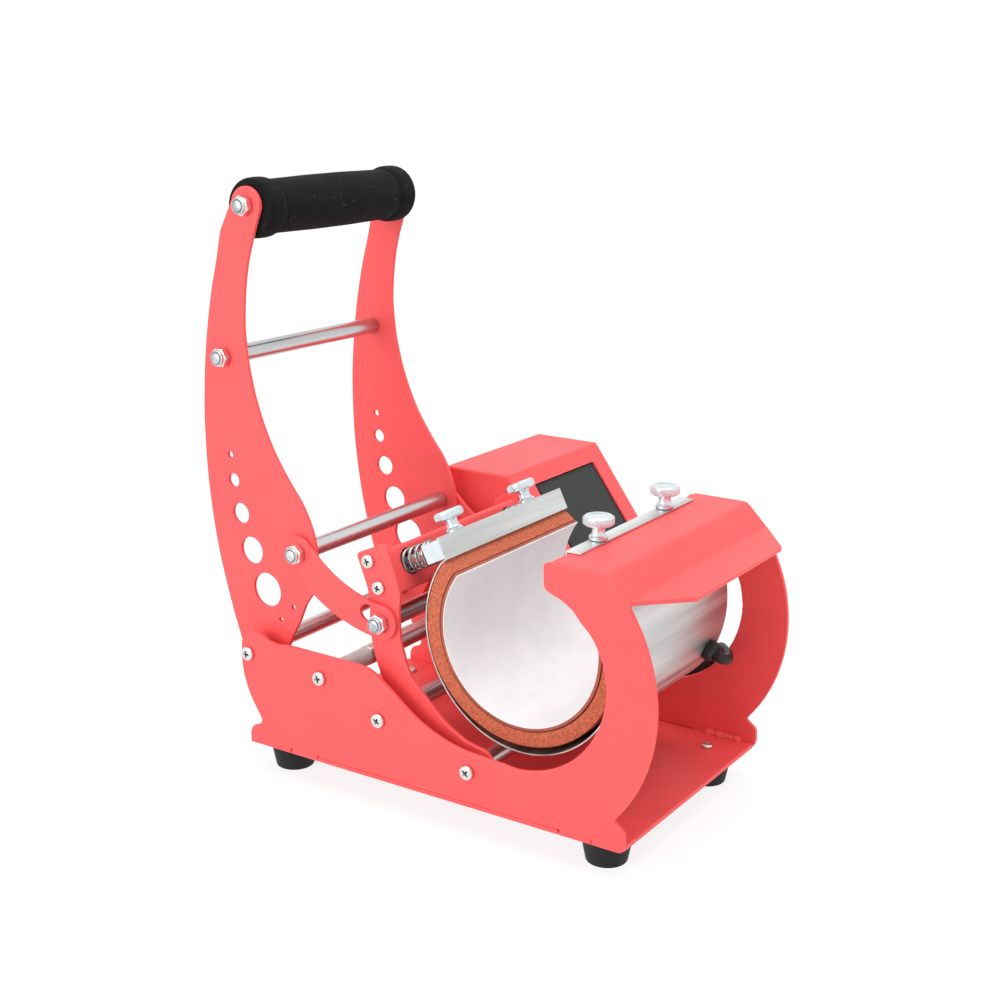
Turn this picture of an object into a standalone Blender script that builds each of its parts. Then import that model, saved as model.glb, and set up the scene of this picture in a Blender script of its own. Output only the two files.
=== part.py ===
"""Mug heat press with a swing-closing wrap heater.

The press stands on four rubber feet. Two sheet side plates carry four cross
rods. Pulling the padded handle forward pushes a pair of links, which swing the
clamp arms forward and draw the flexible heater wrap around a mug. The front
end of the wrap is fixed to the hood. A wedge-shaped control box stands beside
the right side plate.

Press coordinates: x = 0 on the centre plane between the side plates, z = 0 on
the underside of the base sheet, -Y is the front. The root empty moves them so
that the origin lies under the middle of the whole object.
"""
import math

import bpy
from mathutils import Vector
from mathutils.geometry import tessellate_polygon

# Sheet metal frame
SHEET = 0.0025
GAP = 0.0003
HALF_WIDTH = 0.0790
OUTLINE_SPAN = 0.2500
BASE_REAR = 0.0949
BASE_FRONT = -0.1527
HOOK_OUTER_RADIUS = 0.0931
HOOK_OUTER_Y = -0.0767
HOOK_OUTER_Z = 0.0773
HOOK_INNER_RADIUS = 0.0557
HOOK_INNER_Y = -0.0861
HOOK_INNER_Z = 0.0853
SCREW_HOLE = 0.0023

# Hood
HOOD_TOP = 0.1462
HOOD_REAR = -0.1090
HOOD_TOP_FRONT = -0.1411
HOOD_BEND_Y = -0.1533
HOOD_BEND_Z = 0.1340
HOOD_LIP_Y = -0.1753
HOOD_LIP_Z = 0.1326
HOOD_LIP_TAPER = 0.0284
HOOD_LIP_HALF = HALF_WIDTH - HOOD_LIP_TAPER

# Feet
FOOT_HEIGHT = 0.0175
FOOT_TOP_RADIUS = 0.0140
FOOT_BOTTOM_RADIUS = 0.0110
FOOT_EDGE = 0.0012
FOOT_INSET = 0.0212
FOOT_X = HALF_WIDTH - FOOT_INSET
FOOT_FRONT_Y = -0.1323
FOOT_REAR_Y = 0.0798
FOOT_RECESS_RADIUS = 0.0055
FOOT_RECESS_DEPTH = 0.0060
FOOT_SCREW_HOLE = 0.0025

# Cross rods and their pivots
ROD_RADIUS = 0.0050
ROD_HALF = HALF_WIDTH - SHEET - GAP
ROD_TAP_RADIUS = 0.0023
ROD_TAP_DEPTH = 0.0140
STUD_RADIUS = 0.0030
STUD_HOLE = 0.0033
HANDLE_PIVOT_Y = 0.0940
HANDLE_PIVOT_Z = 0.0551
STOP_Y = 0.0412
STOP_Z = 0.0515
SPACER_Y = 0.0001
SPACER_Z = 0.0360
SWING_PIVOT_Y = -0.0588
SWING_PIVOT_Z = 0.0205
LINK_PIN_Y = 0.0613
LINK_PIN_Z = 0.1189
SWING_PIN_Y = 0.0037
SWING_PIN_Z = 0.0894
SPREADER_Y = 0.1136
SPREADER_Z = 0.2240
GRIP_Y = 0.0932
GRIP_Z = 0.3086
HANDLE_PIVOT = (HANDLE_PIVOT_Y, HANDLE_PIVOT_Z)
STOP_AXIS = (STOP_Y, STOP_Z)
SPACER_AXIS = (SPACER_Y, SPACER_Z)
SWING_PIVOT = (SWING_PIVOT_Y, SWING_PIVOT_Z)
LINK_PIN = (LINK_PIN_Y, LINK_PIN_Z)
SWING_PIN = (SWING_PIN_Y, SWING_PIN_Z)
SPREADER_AXIS = (SPREADER_Y, SPREADER_Z)
GRIP_AXIS = (GRIP_Y, GRIP_Z)
STOP_TUBE_RADIUS = 0.00575
STOP_CORE_RADIUS = 0.0040
SLEEVE_OUTER_RADIUS = 0.0055
SLEEVE_BORE_RADIUS = 0.0043
SLEEVE_LENGTH = 0.0381
SLEEVE_OUTER_X = ROD_HALF - GAP
SLEEVE_INNER_X = SLEEVE_OUTER_X - SLEEVE_LENGTH
STOP_TUBE_HALF = SLEEVE_INNER_X - GAP

# Screws, nuts and thumb screws
SCREW_HEAD_RADIUS = 0.0042
SCREW_HEAD_HEIGHT = 0.0024
SCREW_SHANK_RADIUS = 0.0020
SCREW_LENGTH = 0.0140
NUT_FLAT_RADIUS = 0.0050
NUT_HEIGHT = 0.0060
THUMB_HEAD_RADIUS = 0.00825
THUMB_HEAD_HEIGHT = 0.0050
THUMB_NECK_RADIUS = 0.0034
THUMB_COLLAR_RADIUS = 0.0050
THUMB_COLLAR_HEIGHT = 0.0021
THUMB_NECK_HEIGHT = 0.0056
THUMB_SHANK_RADIUS = 0.0025
THUMB_HOLE = 0.0029
THUMB_REAR_DEPTH = 0.0102
THUMB_FRONT_DEPTH = 0.0040
THUMB_FRONT_Y = -0.1111

# Handle, link and swing arm stack
LINK_CLEARANCE = 0.0051
ARM_CLEARANCE = 0.0004
LINK_OUTER_X = HALF_WIDTH - SHEET - LINK_CLEARANCE
LINK_INNER_X = LINK_OUTER_X - SHEET
ARM_OUTER_X = LINK_INNER_X - ARM_CLEARANCE
ARM_INNER_X = ARM_OUTER_X - SHEET
PIVOT_HOLE = 0.0053
ARM_TOP_RADIUS = 0.0102
LINK_HALF_WIDTH = 0.0097
LINK_SAG = 0.0063
LINK_SLOT_RADIUS = 0.0049
LINK_SLOT_LENGTH = 0.0101
LINK_SLOT_OFFSET = 0.0007
PIN_STUB_LINK = 0.0005
PIN_STUB_ARM = 0.0005
PIN_END_LINK = LINK_OUTER_X + GAP + NUT_HEIGHT + PIN_STUB_LINK
PIN_END_ARM = ARM_OUTER_X + GAP + NUT_HEIGHT + PIN_STUB_ARM
SWING_END_RADIUS = 0.0095

# Foam grip
GRIP_CLEARANCE = 0.0008
GRIP_HALF = ARM_INNER_X - GRIP_CLEARANCE
GRIP_MIDDLE_RADIUS = 0.0153
GRIP_WAIST_RADIUS = 0.0146
GRIP_FLARE_RADIUS = 0.0164
GRIP_FLARE_LENGTH = 0.0135
GRIP_EDGE = 0.0030
GRIP_BORE = 0.0057
GRIP_ROD_RADIUS = 0.0035
GRIP_DROP = 0.0019

# Crossbar and moving clamp
CLAMP_TILT = 0.4608
CROSSBAR_Y = 0.00685
CROSSBAR_Z = 0.1140
CROSSBAR_CENTRE = (CROSSBAR_Y, CROSSBAR_Z)
CROSSBAR_HEIGHT = 0.0250
CROSSBAR_DEPTH = 0.0190
CROSSBAR_WALL = 0.0020
CROSSBAR_HALF = ARM_INNER_X - GAP
BAR_Y = -0.0242
BAR_Z = 0.1316
BAR_CENTRE = (BAR_Y, BAR_Z)
BAR_DEPTH = 0.0125
BAR_HEIGHT = 0.0110
WRAP_CLEARANCE = 0.0040
WRAP_HALF = ARM_INNER_X - WRAP_CLEARANCE
BAR_INSET = 0.0008
BAR_HALF = WRAP_HALF - BAR_INSET
SPRING_INSET = 0.0112
SPRING_X = BAR_HALF - SPRING_INSET
THUMB_SPACING = 0.0138
THUMB_X = SPRING_X - THUMB_SPACING
SPRING_WIRE_RADIUS = 0.00075
SPRING_MEAN_RADIUS = 0.0062
SPRING_HOLE = 0.0076
SPRING_TURNS = 8
SPRING_RISE = 0.0014
GUIDE_RADIUS = 0.0030
GUIDE_HOLE = 0.0034
GUIDE_TAIL = 0.0040

# Heater wrap
WRAP_Y = -0.0793
WRAP_Z = 0.0935
LINER_INNER = 0.0476
LINER_OUTER = 0.0500
SPONGE_INNER = 0.0503
SPONGE_OUTER = 0.0580
SHELL_INNER = 0.0589
SHELL_SHEET = 0.0008
SHELL_SAG = 0.0034
WRAP_REAR_ANGLE = 0.6283
SHELL_REAR_ANGLE = 0.5934
WRAP_FRONT_ANGLE = -4.0491
FLANGE_FOOT_Y = -0.0331
FLANGE_FOOT_Z = 0.1294
FLANGE_TOP_Y = -0.0276
FLANGE_TOP_Z = 0.1405
FLANGE_REAR_FOOT = (FLANGE_FOOT_Y, FLANGE_FOOT_Z)
FLANGE_REAR_TOP = (FLANGE_TOP_Y, FLANGE_TOP_Z)
FLANGE_RISER_Y = -0.1076
FLANGE_RISER_Z = 0.1430
FLANGE_FRONT_Y = -0.1160
FLANGE_SLOT = 0.0036

# Heater lead
LEAD_RADIUS = 0.0030
LEAD_BORE = 0.0034
GLAND_RADIUS = 0.0062
GLAND_LENGTH = 0.0050
GLAND_INSET = 0.0120
GLAND_X = WRAP_HALF - GLAND_INSET
GLAND_ANGLE = 3.6128
BOOT_RADIUS = 0.0052
BOOT_LENGTH = 0.0280
LEAD_UNIT = 0.1000

# Control box
BOX_WIDTH = 0.1095
BOX_LEFT = HALF_WIDTH + GAP
BOX_RIGHT = BOX_LEFT + BOX_WIDTH
BOX_REAR = 0.0671
BOX_TOP = 0.1371
BOX_TOP_FRONT = 0.0207
BOX_FRONT = -0.0446
BOX_SLANT_LOW = 0.0473
BOX_WALL = 0.0015
PANEL_LEFT_MARGIN = 0.0215
PANEL_RIGHT_MARGIN = 0.0153
PANEL_LEFT = BOX_LEFT + PANEL_LEFT_MARGIN
PANEL_RIGHT = BOX_RIGHT - PANEL_RIGHT_MARGIN
PANEL_DROP = 0.0113
PANEL_HEIGHT = 0.0880
PANEL_THICKNESS = 0.0020
PANEL_RECESS = 0.0010

# Power inlet with rocker
INLET_INSET = 0.0328
INLET_X = BOX_RIGHT - INLET_INSET
INLET_Z = 0.0400
INLET_WIDTH = 0.0300
INLET_HEIGHT = 0.0480
INLET_FLANGE = 0.0030
INLET_BODY_INSET = 0.0020
INLET_DEPTH = 0.0220
SOCKET_WIDTH = 0.0240
SOCKET_HEIGHT = 0.0165
SOCKET_DEPTH = 0.0170
SOCKET_DROP = 0.0120
PIN_WIDTH = 0.0020
PIN_HEIGHT = 0.0040
PIN_PITCH = 0.0070
PIN_RISE = 0.0040
PIN_LENGTH = 0.0105
ROCKER_WIDTH = 0.0190
ROCKER_HEIGHT = 0.0130
ROCKER_RAISE = 0.0120
ROCKER_DEPTH = 0.0080
ROCKER_CLEARANCE = 0.0010
ROCKER_TILT = 0.1396

# Resolution
ROUND_STEPS = 24
SMALL_STEPS = 16
CURVE_STEPS = 4
HOOK_STEPS = 30
WRAP_STEPS = 44
SMOOTH_ANGLE = 0.6

# Outline points as shares of OUTLINE_SPAN, (y, z)
side_rear_share = ((0.3796, 0.0252), (0.3712, 0.0416), (0.3520, 0.0500), (0.3448, 0.0644), (0.3596, 0.0892),
                   (0.3768, 0.1180), (0.3908, 0.1556), (0.3980, 0.1940), (0.3972, 0.2444))
side_top_share = ((0.3952, 0.2524), (0.3688, 0.2712), (0.3440, 0.2756), (0.3136, 0.2620), (0.2836, 0.2588),
                  (0.2500, 0.2624), (0.1112, 0.2612), (0.0428, 0.2596), (0.0092, 0.2480), (-0.0404, 0.2136),
                  (-0.0996, 0.1708), (-0.1644, 0.1416), (-0.2276, 0.1272), (-0.3008, 0.1228),
                  (-0.3564, 0.1184))
hook_tip_share = ((-0.4928, 0.4856), (-0.4676, 0.5032), (-0.4272, 0.5224), (-0.4192, 0.5304),
                  (-0.4172, 0.5620), (-0.4300, 0.5736), (-0.5596, 0.5736), (-0.6116, 0.5216))
side_notch_share = ((-0.5904, 0.0656), (-0.6144, 0.0464), (-0.6164, 0.0196), (-0.6108, 0.0000),
                    (0.3796, 0.0000))
arm_rear_share = ((0.4432, 1.1772), (0.4652, 1.1104), (0.4836, 1.0428), (0.4980, 0.9744), (0.5092, 0.9056),
                  (0.5168, 0.8360), (0.5216, 0.7656), (0.5220, 0.6956), (0.5196, 0.6248), (0.5132, 0.5540),
                  (0.5032, 0.4836), (0.4892, 0.4128), (0.4608, 0.3076), (0.4376, 0.2380), (0.4200, 0.1820),
                  (0.3760, 0.1624), (0.3280, 0.1820), (0.2960, 0.2320), (0.2768, 0.2712), (0.2544, 0.3120),
                  (0.2364, 0.3516), (0.2116, 0.3860))
arm_front_share = ((0.2000, 0.4640), (0.2044, 0.4980), (0.2136, 0.5312), (0.2280, 0.5636), (0.2472, 0.5952),
                   (0.2720, 0.6260), (0.3152, 0.6888), (0.3468, 0.7532), (0.3696, 0.8180), (0.3844, 0.8844),
                   (0.3916, 0.9508), (0.3916, 0.9840), (0.3860, 1.0504), (0.3728, 1.1168), (0.3504, 1.1828))
swing_front_share = ((0.0152, 0.5256), (-0.0108, 0.4712), (-0.0288, 0.4280), (-0.0256, 0.3840),
                     (-0.0280, 0.3304), (-0.0368, 0.2916), (-0.0556, 0.2460), (-0.0916, 0.2072),
                     (-0.1456, 0.1580), (-0.1996, 0.1276))
swing_rear_share = ((-0.1800, 0.0488), (-0.1080, 0.0760), (-0.0520, 0.1144), (-0.0232, 0.1536),
                    (0.0136, 0.2076), (0.0320, 0.2468), (0.0408, 0.2748), (0.0500, 0.3108),
                    (0.0536, 0.3600), (0.0548, 0.4108), (0.0852, 0.4928), (0.0792, 0.5024),
                    (0.0344, 0.5272))
# Round holes through each handle arm, (y, z, radius)
arm_hole_share = ((0.4476, 0.6716, 0.0080), (0.4400, 0.6128, 0.0160), (0.4224, 0.5372, 0.0240),
                  (0.3932, 0.4536, 0.0320), (0.3508, 0.3664, 0.0400), (0.2736, 0.3392, 0.0060),
                  (0.3120, 0.3020, 0.0060))
# Middle line of the heater lead as shares of LEAD_UNIT, (x from the right side plate's outer face, y, z)
lead_route_share = ((-0.287, -1.421, 0.614), (-0.245, -1.440, 0.600), (-0.160, -1.405, 0.592),
                    (-0.085, -1.345, 0.585), (-0.010, -1.290, 0.565), (0.050, -1.245, 0.510))
boot_start_share = (0.095, -1.185, 0.430)
boot_finish_share = (0.095, -0.965, 0.262)
lead_tail_share = ((0.100, -0.860, 0.208), (0.105, -0.720, 0.186), (0.105, -0.590, 0.182))


# Materials

def finish(name, colour, roughness, metallic=0.0):
    """Return the named Principled material, making it on first use."""
    found = bpy.data.materials.get(name)
    if found:
        return found
    material = bpy.data.materials.new(name)
    material.use_nodes = True
    shader = material.node_tree.nodes["Principled BSDF"]
    shader.inputs["Base Color"].default_value = (*colour, 1.0)
    shader.inputs["Roughness"].default_value = roughness
    shader.inputs["Metallic"].default_value = metallic
    return material


def red_paint():
    """Matt coral-red powder coat of the sheet parts."""
    return finish("red_paint", (0.86, 0.10, 0.11), 0.5)


def bright_steel():
    """Polished steel of rods, screws and nuts."""
    return finish("bright_steel", (0.72, 0.72, 0.71), 0.25, 1.0)


def zinc_steel():
    """Bright zinc plate of the thumb screws and the clamp bar."""
    return finish("zinc_steel", (0.78, 0.79, 0.80), 0.32, 1.0)


def wrap_steel():
    """Brushed stainless sheet around the heater wrap."""
    return finish("wrap_steel", (0.70, 0.70, 0.68), 0.35, 1.0)


def spring_steel():
    """Dark bright wire of the compression springs."""
    return finish("spring_steel", (0.50, 0.50, 0.50), 0.3, 1.0)


def sponge_silicone():
    """Red-brown silicone sponge between the shell and the heating mat."""
    return finish("sponge_silicone", (0.60, 0.14, 0.07), 0.9)


def liner_white():
    """Off-white inner face of the heating mat."""
    return finish("liner_white", (0.76, 0.73, 0.74), 0.6)


def clear_sleeve():
    """Milky silicone sleeve on the stop rod."""
    return finish("clear_sleeve", (0.70, 0.68, 0.68), 0.4)


def black_foam():
    """Closed-cell foam of the grip."""
    return finish("black_foam", (0.012, 0.012, 0.013), 0.95)


def black_rubber():
    """Moulded rubber of the feet."""
    return finish("black_rubber", (0.02, 0.02, 0.022), 0.7)


def black_plastic():
    """Matt plastic of the panel, inlet and lead parts."""
    return finish("black_plastic", (0.05, 0.055, 0.055), 0.5)


def gloss_plastic():
    """Glossy plastic of the rocker."""
    return finish("gloss_plastic", (0.02, 0.02, 0.02), 0.2)


# Outlines in the side view, (y, z)

def from_shares(shares, span=OUTLINE_SPAN):
    """Turn a table of shares into lengths."""
    return [tuple(value * span for value in row) for row in shares]


def smooth_line(points, steps=CURVE_STEPS):
    """Return a soft curve through the points, both ends included."""
    count = len(points)
    line = []
    for i in range(count - 1):
        before = Vector(points[max(i - 1, 0)])
        start = Vector(points[i])
        end = Vector(points[i + 1])
        after = Vector(points[min(i + 2, count - 1)])
        for step in range(steps):
            t = step / steps
            bend = (end - before) * t + (2 * before - 5 * start + 4 * end - after) * t ** 2
            bend += (3 * start - before - 3 * end + after) * t ** 3
            line.append(tuple(start + bend / 2))
    line.append(tuple(points[-1]))
    return line


def arc(centre, radius, start, end, steps):
    """Return points on an arc, both ends included."""
    line = []
    for i in range(steps + 1):
        angle = start + (end - start) * i / steps
        line.append((centre[0] + radius * math.cos(angle), centre[1] + radius * math.sin(angle)))
    return line


def circle(centre, radius, steps=ROUND_STEPS):
    """Return a closed ring of points."""
    return arc(centre, radius, 0, math.tau, steps)[:-1]


def angle_at(centre, point):
    """Angle of a point seen from a centre, in the side view."""
    return math.atan2(point[1] - centre[1], point[0] - centre[0])


# Solid makers

def new_object(name, verts, faces, material, pivot=(0, 0, 0)):
    """Make one object whose origin is the pivot."""
    mesh = bpy.data.meshes.new(name)
    base = Vector(pivot)
    mesh.from_pydata([Vector(v) - base for v in verts], [], faces)
    mesh.update()
    mesh.materials.append(material)
    obj = bpy.data.objects.new(name, mesh)
    bpy.context.scene.collection.objects.link(obj)
    obj.location = base
    return obj


def shade(obj):
    """Shade an object smooth except at its sharp edges."""
    obj.data.shade_smooth()
    obj.data.set_sharp_from_angle(angle=SMOOTH_ANGLE)
    return obj


def triangulate(rings):
    """Fill an outer ring with holes and return triangles of point numbers."""
    loops = [[Vector((u, v, 0)) for u, v in ring] for ring in rings]
    flat = [p for loop in loops for p in loop]
    triangles = []
    for a, b, c in tessellate_polygon(loops):
        side = (flat[b] - flat[a]).cross(flat[c] - flat[a]).z
        triangles.append((a, b, c) if side > 0 else (a, c, b))
    return triangles


def signed_area(ring):
    """Area of a ring, positive when it runs anticlockwise."""
    total = 0
    for i, (u, v) in enumerate(ring):
        nu, nv = ring[(i + 1) % len(ring)]
        total += u * nv - nu * v
    return total / 2


def extrude(name, rings, low, high, place, material, pivot=(0, 0, 0)):
    """Extrude a ring with holes from low to high; place turns (u, v, w) into (x, y, z)."""
    turned = []
    for number, ring in enumerate(rings):
        wanted = 1 if number == 0 else -1
        turned.append(list(ring) if signed_area(ring) * wanted > 0 else list(reversed(ring)))
    flat = [p for ring in turned for p in ring]
    count = len(flat)
    verts = [place(u, v, low) for u, v in flat] + [place(u, v, high) for u, v in flat]
    caps = triangulate(turned)
    faces = [(a + count, b + count, c + count) for a, b, c in caps]
    faces += [(c, b, a) for a, b, c in caps]
    offset = 0
    for ring in turned:
        size = len(ring)
        for i in range(size):
            a = offset + i
            b = offset + (i + 1) % size
            faces.append((a, b, b + count, a + count))
        offset += size
    return new_object(name, verts, faces, material, pivot)


def side_place(u, v, w):
    """Place a side-view outline (y, z) extruded along x."""
    return (w, u, v)


def plan_place(u, v, w):
    """Place a plan outline (x, y) extruded along z."""
    return (u, v, w)


def tilt_basis():
    """Directions of the tilted clamp: forward normal and upward axis, in (y, z)."""
    forward = Vector((-math.cos(CLAMP_TILT), math.sin(CLAMP_TILT)))
    upward = Vector((math.sin(CLAMP_TILT), math.cos(CLAMP_TILT)))
    return forward, upward


def revolve(name, profile, centre, direction, material, steps=ROUND_STEPS, closed=False, pivot=None):
    """Turn a (radius, height) profile about a line through centre.

    An open profile starts and ends on the axis. A closed one is a ring that
    never meets the axis, such as a tube's section.
    """
    turn = Vector((0, 0, 1)).rotation_difference(Vector(direction)).to_matrix()
    base = Vector(centre)
    if closed and signed_area(profile) < 0:
        profile = list(reversed(profile))
    verts = []
    rows = []
    for radius, height in profile:
        if radius == 0:
            rows.append([len(verts)])
            verts.append(base + turn @ Vector((0, 0, height)))
            continue
        row = []
        for i in range(steps):
            angle = math.tau * i / steps
            row.append(len(verts))
            verts.append(base + turn @ Vector((radius * math.cos(angle), radius * math.sin(angle), height)))
        rows.append(row)
    pairs = list(zip(rows, rows[1:]))
    if closed:
        pairs.append((rows[-1], rows[0]))
    faces = []
    for low, high in pairs:
        for i in range(steps):
            j = (i + 1) % steps
            if len(low) == 1:
                faces.append((low[0], high[j], high[i]))
            elif len(high) == 1:
                faces.append((low[i], low[j], high[0]))
            else:
                faces.append((low[i], low[j], high[j], high[i]))
    return shade(new_object(name, verts, faces, material, centre if pivot is None else pivot))


def block(name, low, high, material, pivot=(0, 0, 0)):
    """Make a box between two corners."""
    ring = [(low[0], low[1]), (high[0], low[1]), (high[0], high[1]), (low[0], high[1])]
    return extrude(name, [ring], low[2], high[2], plan_place, material, pivot)


def tilted_block(name, centre, half_x, half_depth, half_height, material, pivot=(0, 0, 0)):
    """Make a box lying in the tilted clamp's directions."""
    forward, upward = tilt_basis()
    middle = Vector(centre)
    signs = ((-1, -1), (1, -1), (1, 1), (-1, 1))
    ring = [tuple(middle + forward * half_depth * a + upward * half_height * b) for a, b in signs]
    return extrude(name, [ring], -half_x, half_x, side_place, material, pivot)


def cut(target, cutters, operation="DIFFERENCE"):
    """Apply a Boolean with each cutter and remove the cutters."""
    for cutter in cutters:
        modifier = target.modifiers.new(cutter.name, "BOOLEAN")
        modifier.operation = operation
        modifier.solver = "EXACT"
        modifier.object = cutter
    bpy.context.view_layer.update()
    result = bpy.data.meshes.new_from_object(target.evaluated_get(bpy.context.evaluated_depsgraph_get()))
    material = target.data.materials[0]
    target.modifiers.clear()
    target.data = result
    target.data.materials.clear()
    target.data.materials.append(material)
    for polygon in target.data.polygons:
        polygon.material_index = 0
    for cutter in cutters:
        bpy.data.objects.remove(cutter)
    return target


# Frame

def side_outline():
    """Closed outline of a side plate with its open hook."""
    top = smooth_line(from_shares(side_top_share))
    hook_centre = (HOOK_INNER_Y, HOOK_INNER_Z)
    tip = from_shares(hook_tip_share)
    notch = from_shares(side_notch_share)
    inner_start = angle_at(hook_centre, top[-1])
    inner_end = angle_at(hook_centre, tip[0]) - math.tau
    spread = (inner_start - inner_end) / HOOK_STEPS
    inner = arc(hook_centre, HOOK_INNER_RADIUS, inner_start - spread, inner_end + spread, HOOK_STEPS - 2)
    outer_centre = (HOOK_OUTER_Y, HOOK_OUTER_Z)
    outer_start = angle_at(outer_centre, tip[-1])
    outer_end = angle_at(outer_centre, notch[0]) + math.tau
    step = (outer_end - outer_start) / HOOK_STEPS
    outer = arc(outer_centre, HOOK_OUTER_RADIUS, outer_start + step, outer_end - step, HOOK_STEPS - 2)
    rear = smooth_line(from_shares(side_rear_share), 2)
    return top + inner + tip + outer + notch + rear


def side_plate(name, side):
    """Side plate at -1 (left) or +1 (right) with its four screw holes."""
    axes = (HANDLE_PIVOT, STOP_AXIS, SPACER_AXIS, SWING_PIVOT)
    holes = [circle(axis, SCREW_HOLE, SMALL_STEPS) for axis in axes]
    edges = sorted((side * HALF_WIDTH, side * (HALF_WIDTH - SHEET)))
    return extrude(name, [side_outline()] + holes, edges[0], edges[1], side_place, red_paint())


def base_plate():
    """Flat floor between the side plates, with a screw hole over each foot."""
    half = HALF_WIDTH - SHEET - GAP
    ring = [(-half, BASE_FRONT), (half, BASE_FRONT), (half, BASE_REAR), (-half, BASE_REAR)]
    holes = []
    for x in (-FOOT_X, FOOT_X):
        for y in (FOOT_FRONT_Y, FOOT_REAR_Y):
            holes.append(circle((x, y), FOOT_SCREW_HOLE, SMALL_STEPS))
    return extrude("base_plate", [ring] + holes, 0, SHEET, plan_place, red_paint())


def offset_line(points, distance):
    """Shift an open line to its right-hand side, mitred at its corners."""
    shifted = []
    last = len(points) - 1
    for i, point in enumerate(points):
        before = Vector(point) - Vector(points[i - 1]) if i > 0 else Vector(points[1]) - Vector(point)
        after = Vector(points[i + 1]) - Vector(point) if i < last else before
        before.normalize()
        after.normalize()
        right = Vector((before.y, -before.x)) + Vector((after.y, -after.x))
        right *= distance * 2 / right.length_squared
        shifted.append(tuple(Vector(point) + right))
    return shifted


def hood():
    """Bent sheet over the hooks: flat top, slant and tapered front lip."""
    top = [(HOOD_REAR, HOOD_TOP), (HOOD_TOP_FRONT, HOOD_TOP), (HOOD_BEND_Y, HOOD_BEND_Z),
           (HOOD_LIP_Y, HOOD_LIP_Z)]
    under = offset_line(top, -SHEET)
    verts = []
    for line in (top, under):
        for number, (y, z) in enumerate(line):
            half = HOOD_LIP_HALF if number == len(line) - 1 else HALF_WIDTH
            verts += [(-half, y, z), (half, y, z)]
    size = 2 * len(top)
    faces = []
    for i in range(0, size - 2, 2):
        faces.append((i, i + 2, i + 3, i + 1))
        faces.append((size + i, size + i + 1, size + i + 3, size + i + 2))
        faces.append((i, size + i, size + i + 2, i + 2))
        faces.append((i + 1, i + 3, size + i + 3, size + i + 1))
    faces.append((0, 1, size + 1, size))
    faces.append((size - 2, 2 * size - 2, 2 * size - 1, size - 1))
    cover = new_object("hood", verts, faces, red_paint())
    cutters = []
    for x in (-THUMB_X, THUMB_X):
        cutters.append(rod_cutter((x, THUMB_FRONT_Y, HOOD_TOP - SHEET * 2), (0, 0, 1), THUMB_HOLE, SHEET * 4))
    return cut(cover, cutters)


def rod_cutter(start, direction, radius, length, steps=SMALL_STEPS):
    """Plain cylinder used to cut a hole."""
    profile = [(0, 0), (radius, 0), (radius, length), (0, length)]
    return revolve("cutter", profile, start, direction, red_paint(), steps)


def foot(name, x, y):
    """Tapered rubber foot with a screw recess in its underside."""
    low = -FOOT_HEIGHT
    top = 0
    profile = [(0, low + FOOT_RECESS_DEPTH), (FOOT_RECESS_RADIUS, low + FOOT_RECESS_DEPTH),
               (FOOT_RECESS_RADIUS, low), (FOOT_BOTTOM_RADIUS - FOOT_EDGE, low),
               (FOOT_BOTTOM_RADIUS, low + FOOT_EDGE), (FOOT_TOP_RADIUS, top - FOOT_EDGE),
               (FOOT_TOP_RADIUS - FOOT_EDGE, top), (0, top)]
    return revolve(name, profile, (x, y, -GAP), (0, 0, 1), black_rubber())


# Rods, screws and nuts

def tapped_rod(name, axis, sections, material):
    """Rod along x made of (half length, radius) sections, tapped at both ends."""
    inner_end = ROD_HALF - ROD_TAP_DEPTH
    half = [(0, inner_end), (ROD_TAP_RADIUS, inner_end), (ROD_TAP_RADIUS, ROD_HALF)]
    previous = ROD_HALF
    for length, radius in sections:
        half += [(radius, previous), (radius, length)]
        previous = length
    profile = [(r, -h) for r, h in half] + [(r, h) for r, h in reversed(half)]
    return revolve(name, drop_repeats(profile), (0, *axis), (1, 0, 0), material)


def drop_repeats(profile):
    """Remove points equal to the one before."""
    kept = []
    for point in profile:
        if not kept or kept[-1] != point:
            kept.append(point)
    return kept


def plain_rod(name, axis):
    """Cross rod of one thickness between the side plates."""
    return tapped_rod(name, axis, [(0, ROD_RADIUS)], bright_steel())


def stop_rod():
    """Rear stop rod: bright tube section in the middle and a core at each end."""
    sections = [(STOP_TUBE_HALF, STOP_CORE_RADIUS), (0, STOP_TUBE_RADIUS)]
    return tapped_rod("stop_rod", STOP_AXIS, sections, bright_steel())


def stop_sleeve(name, side):
    """Soft sleeve that the handle arm lands on."""
    low, high = sorted((side * SLEEVE_INNER_X, side * SLEEVE_OUTER_X))
    profile = [(SLEEVE_OUTER_RADIUS, low), (SLEEVE_OUTER_RADIUS, high), (SLEEVE_BORE_RADIUS, high),
               (SLEEVE_BORE_RADIUS, low)]
    return revolve(name, profile, (0, *STOP_AXIS), (1, 0, 0), clear_sleeve(), closed=True)


def pin_rod(name, axis, end, pivot_axis, radius=ROD_RADIUS):
    """Rod whose reduced ends pass through the arms and carry nuts."""
    shoulder = ARM_INNER_X - GAP
    profile = [(0, -end), (STUD_RADIUS, -end), (STUD_RADIUS, -shoulder), (radius, -shoulder),
               (radius, shoulder), (STUD_RADIUS, shoulder), (STUD_RADIUS, end), (0, end)]
    return revolve(name, profile, (0, *axis), (1, 0, 0), bright_steel(), pivot=(0, *pivot_axis))


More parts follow.
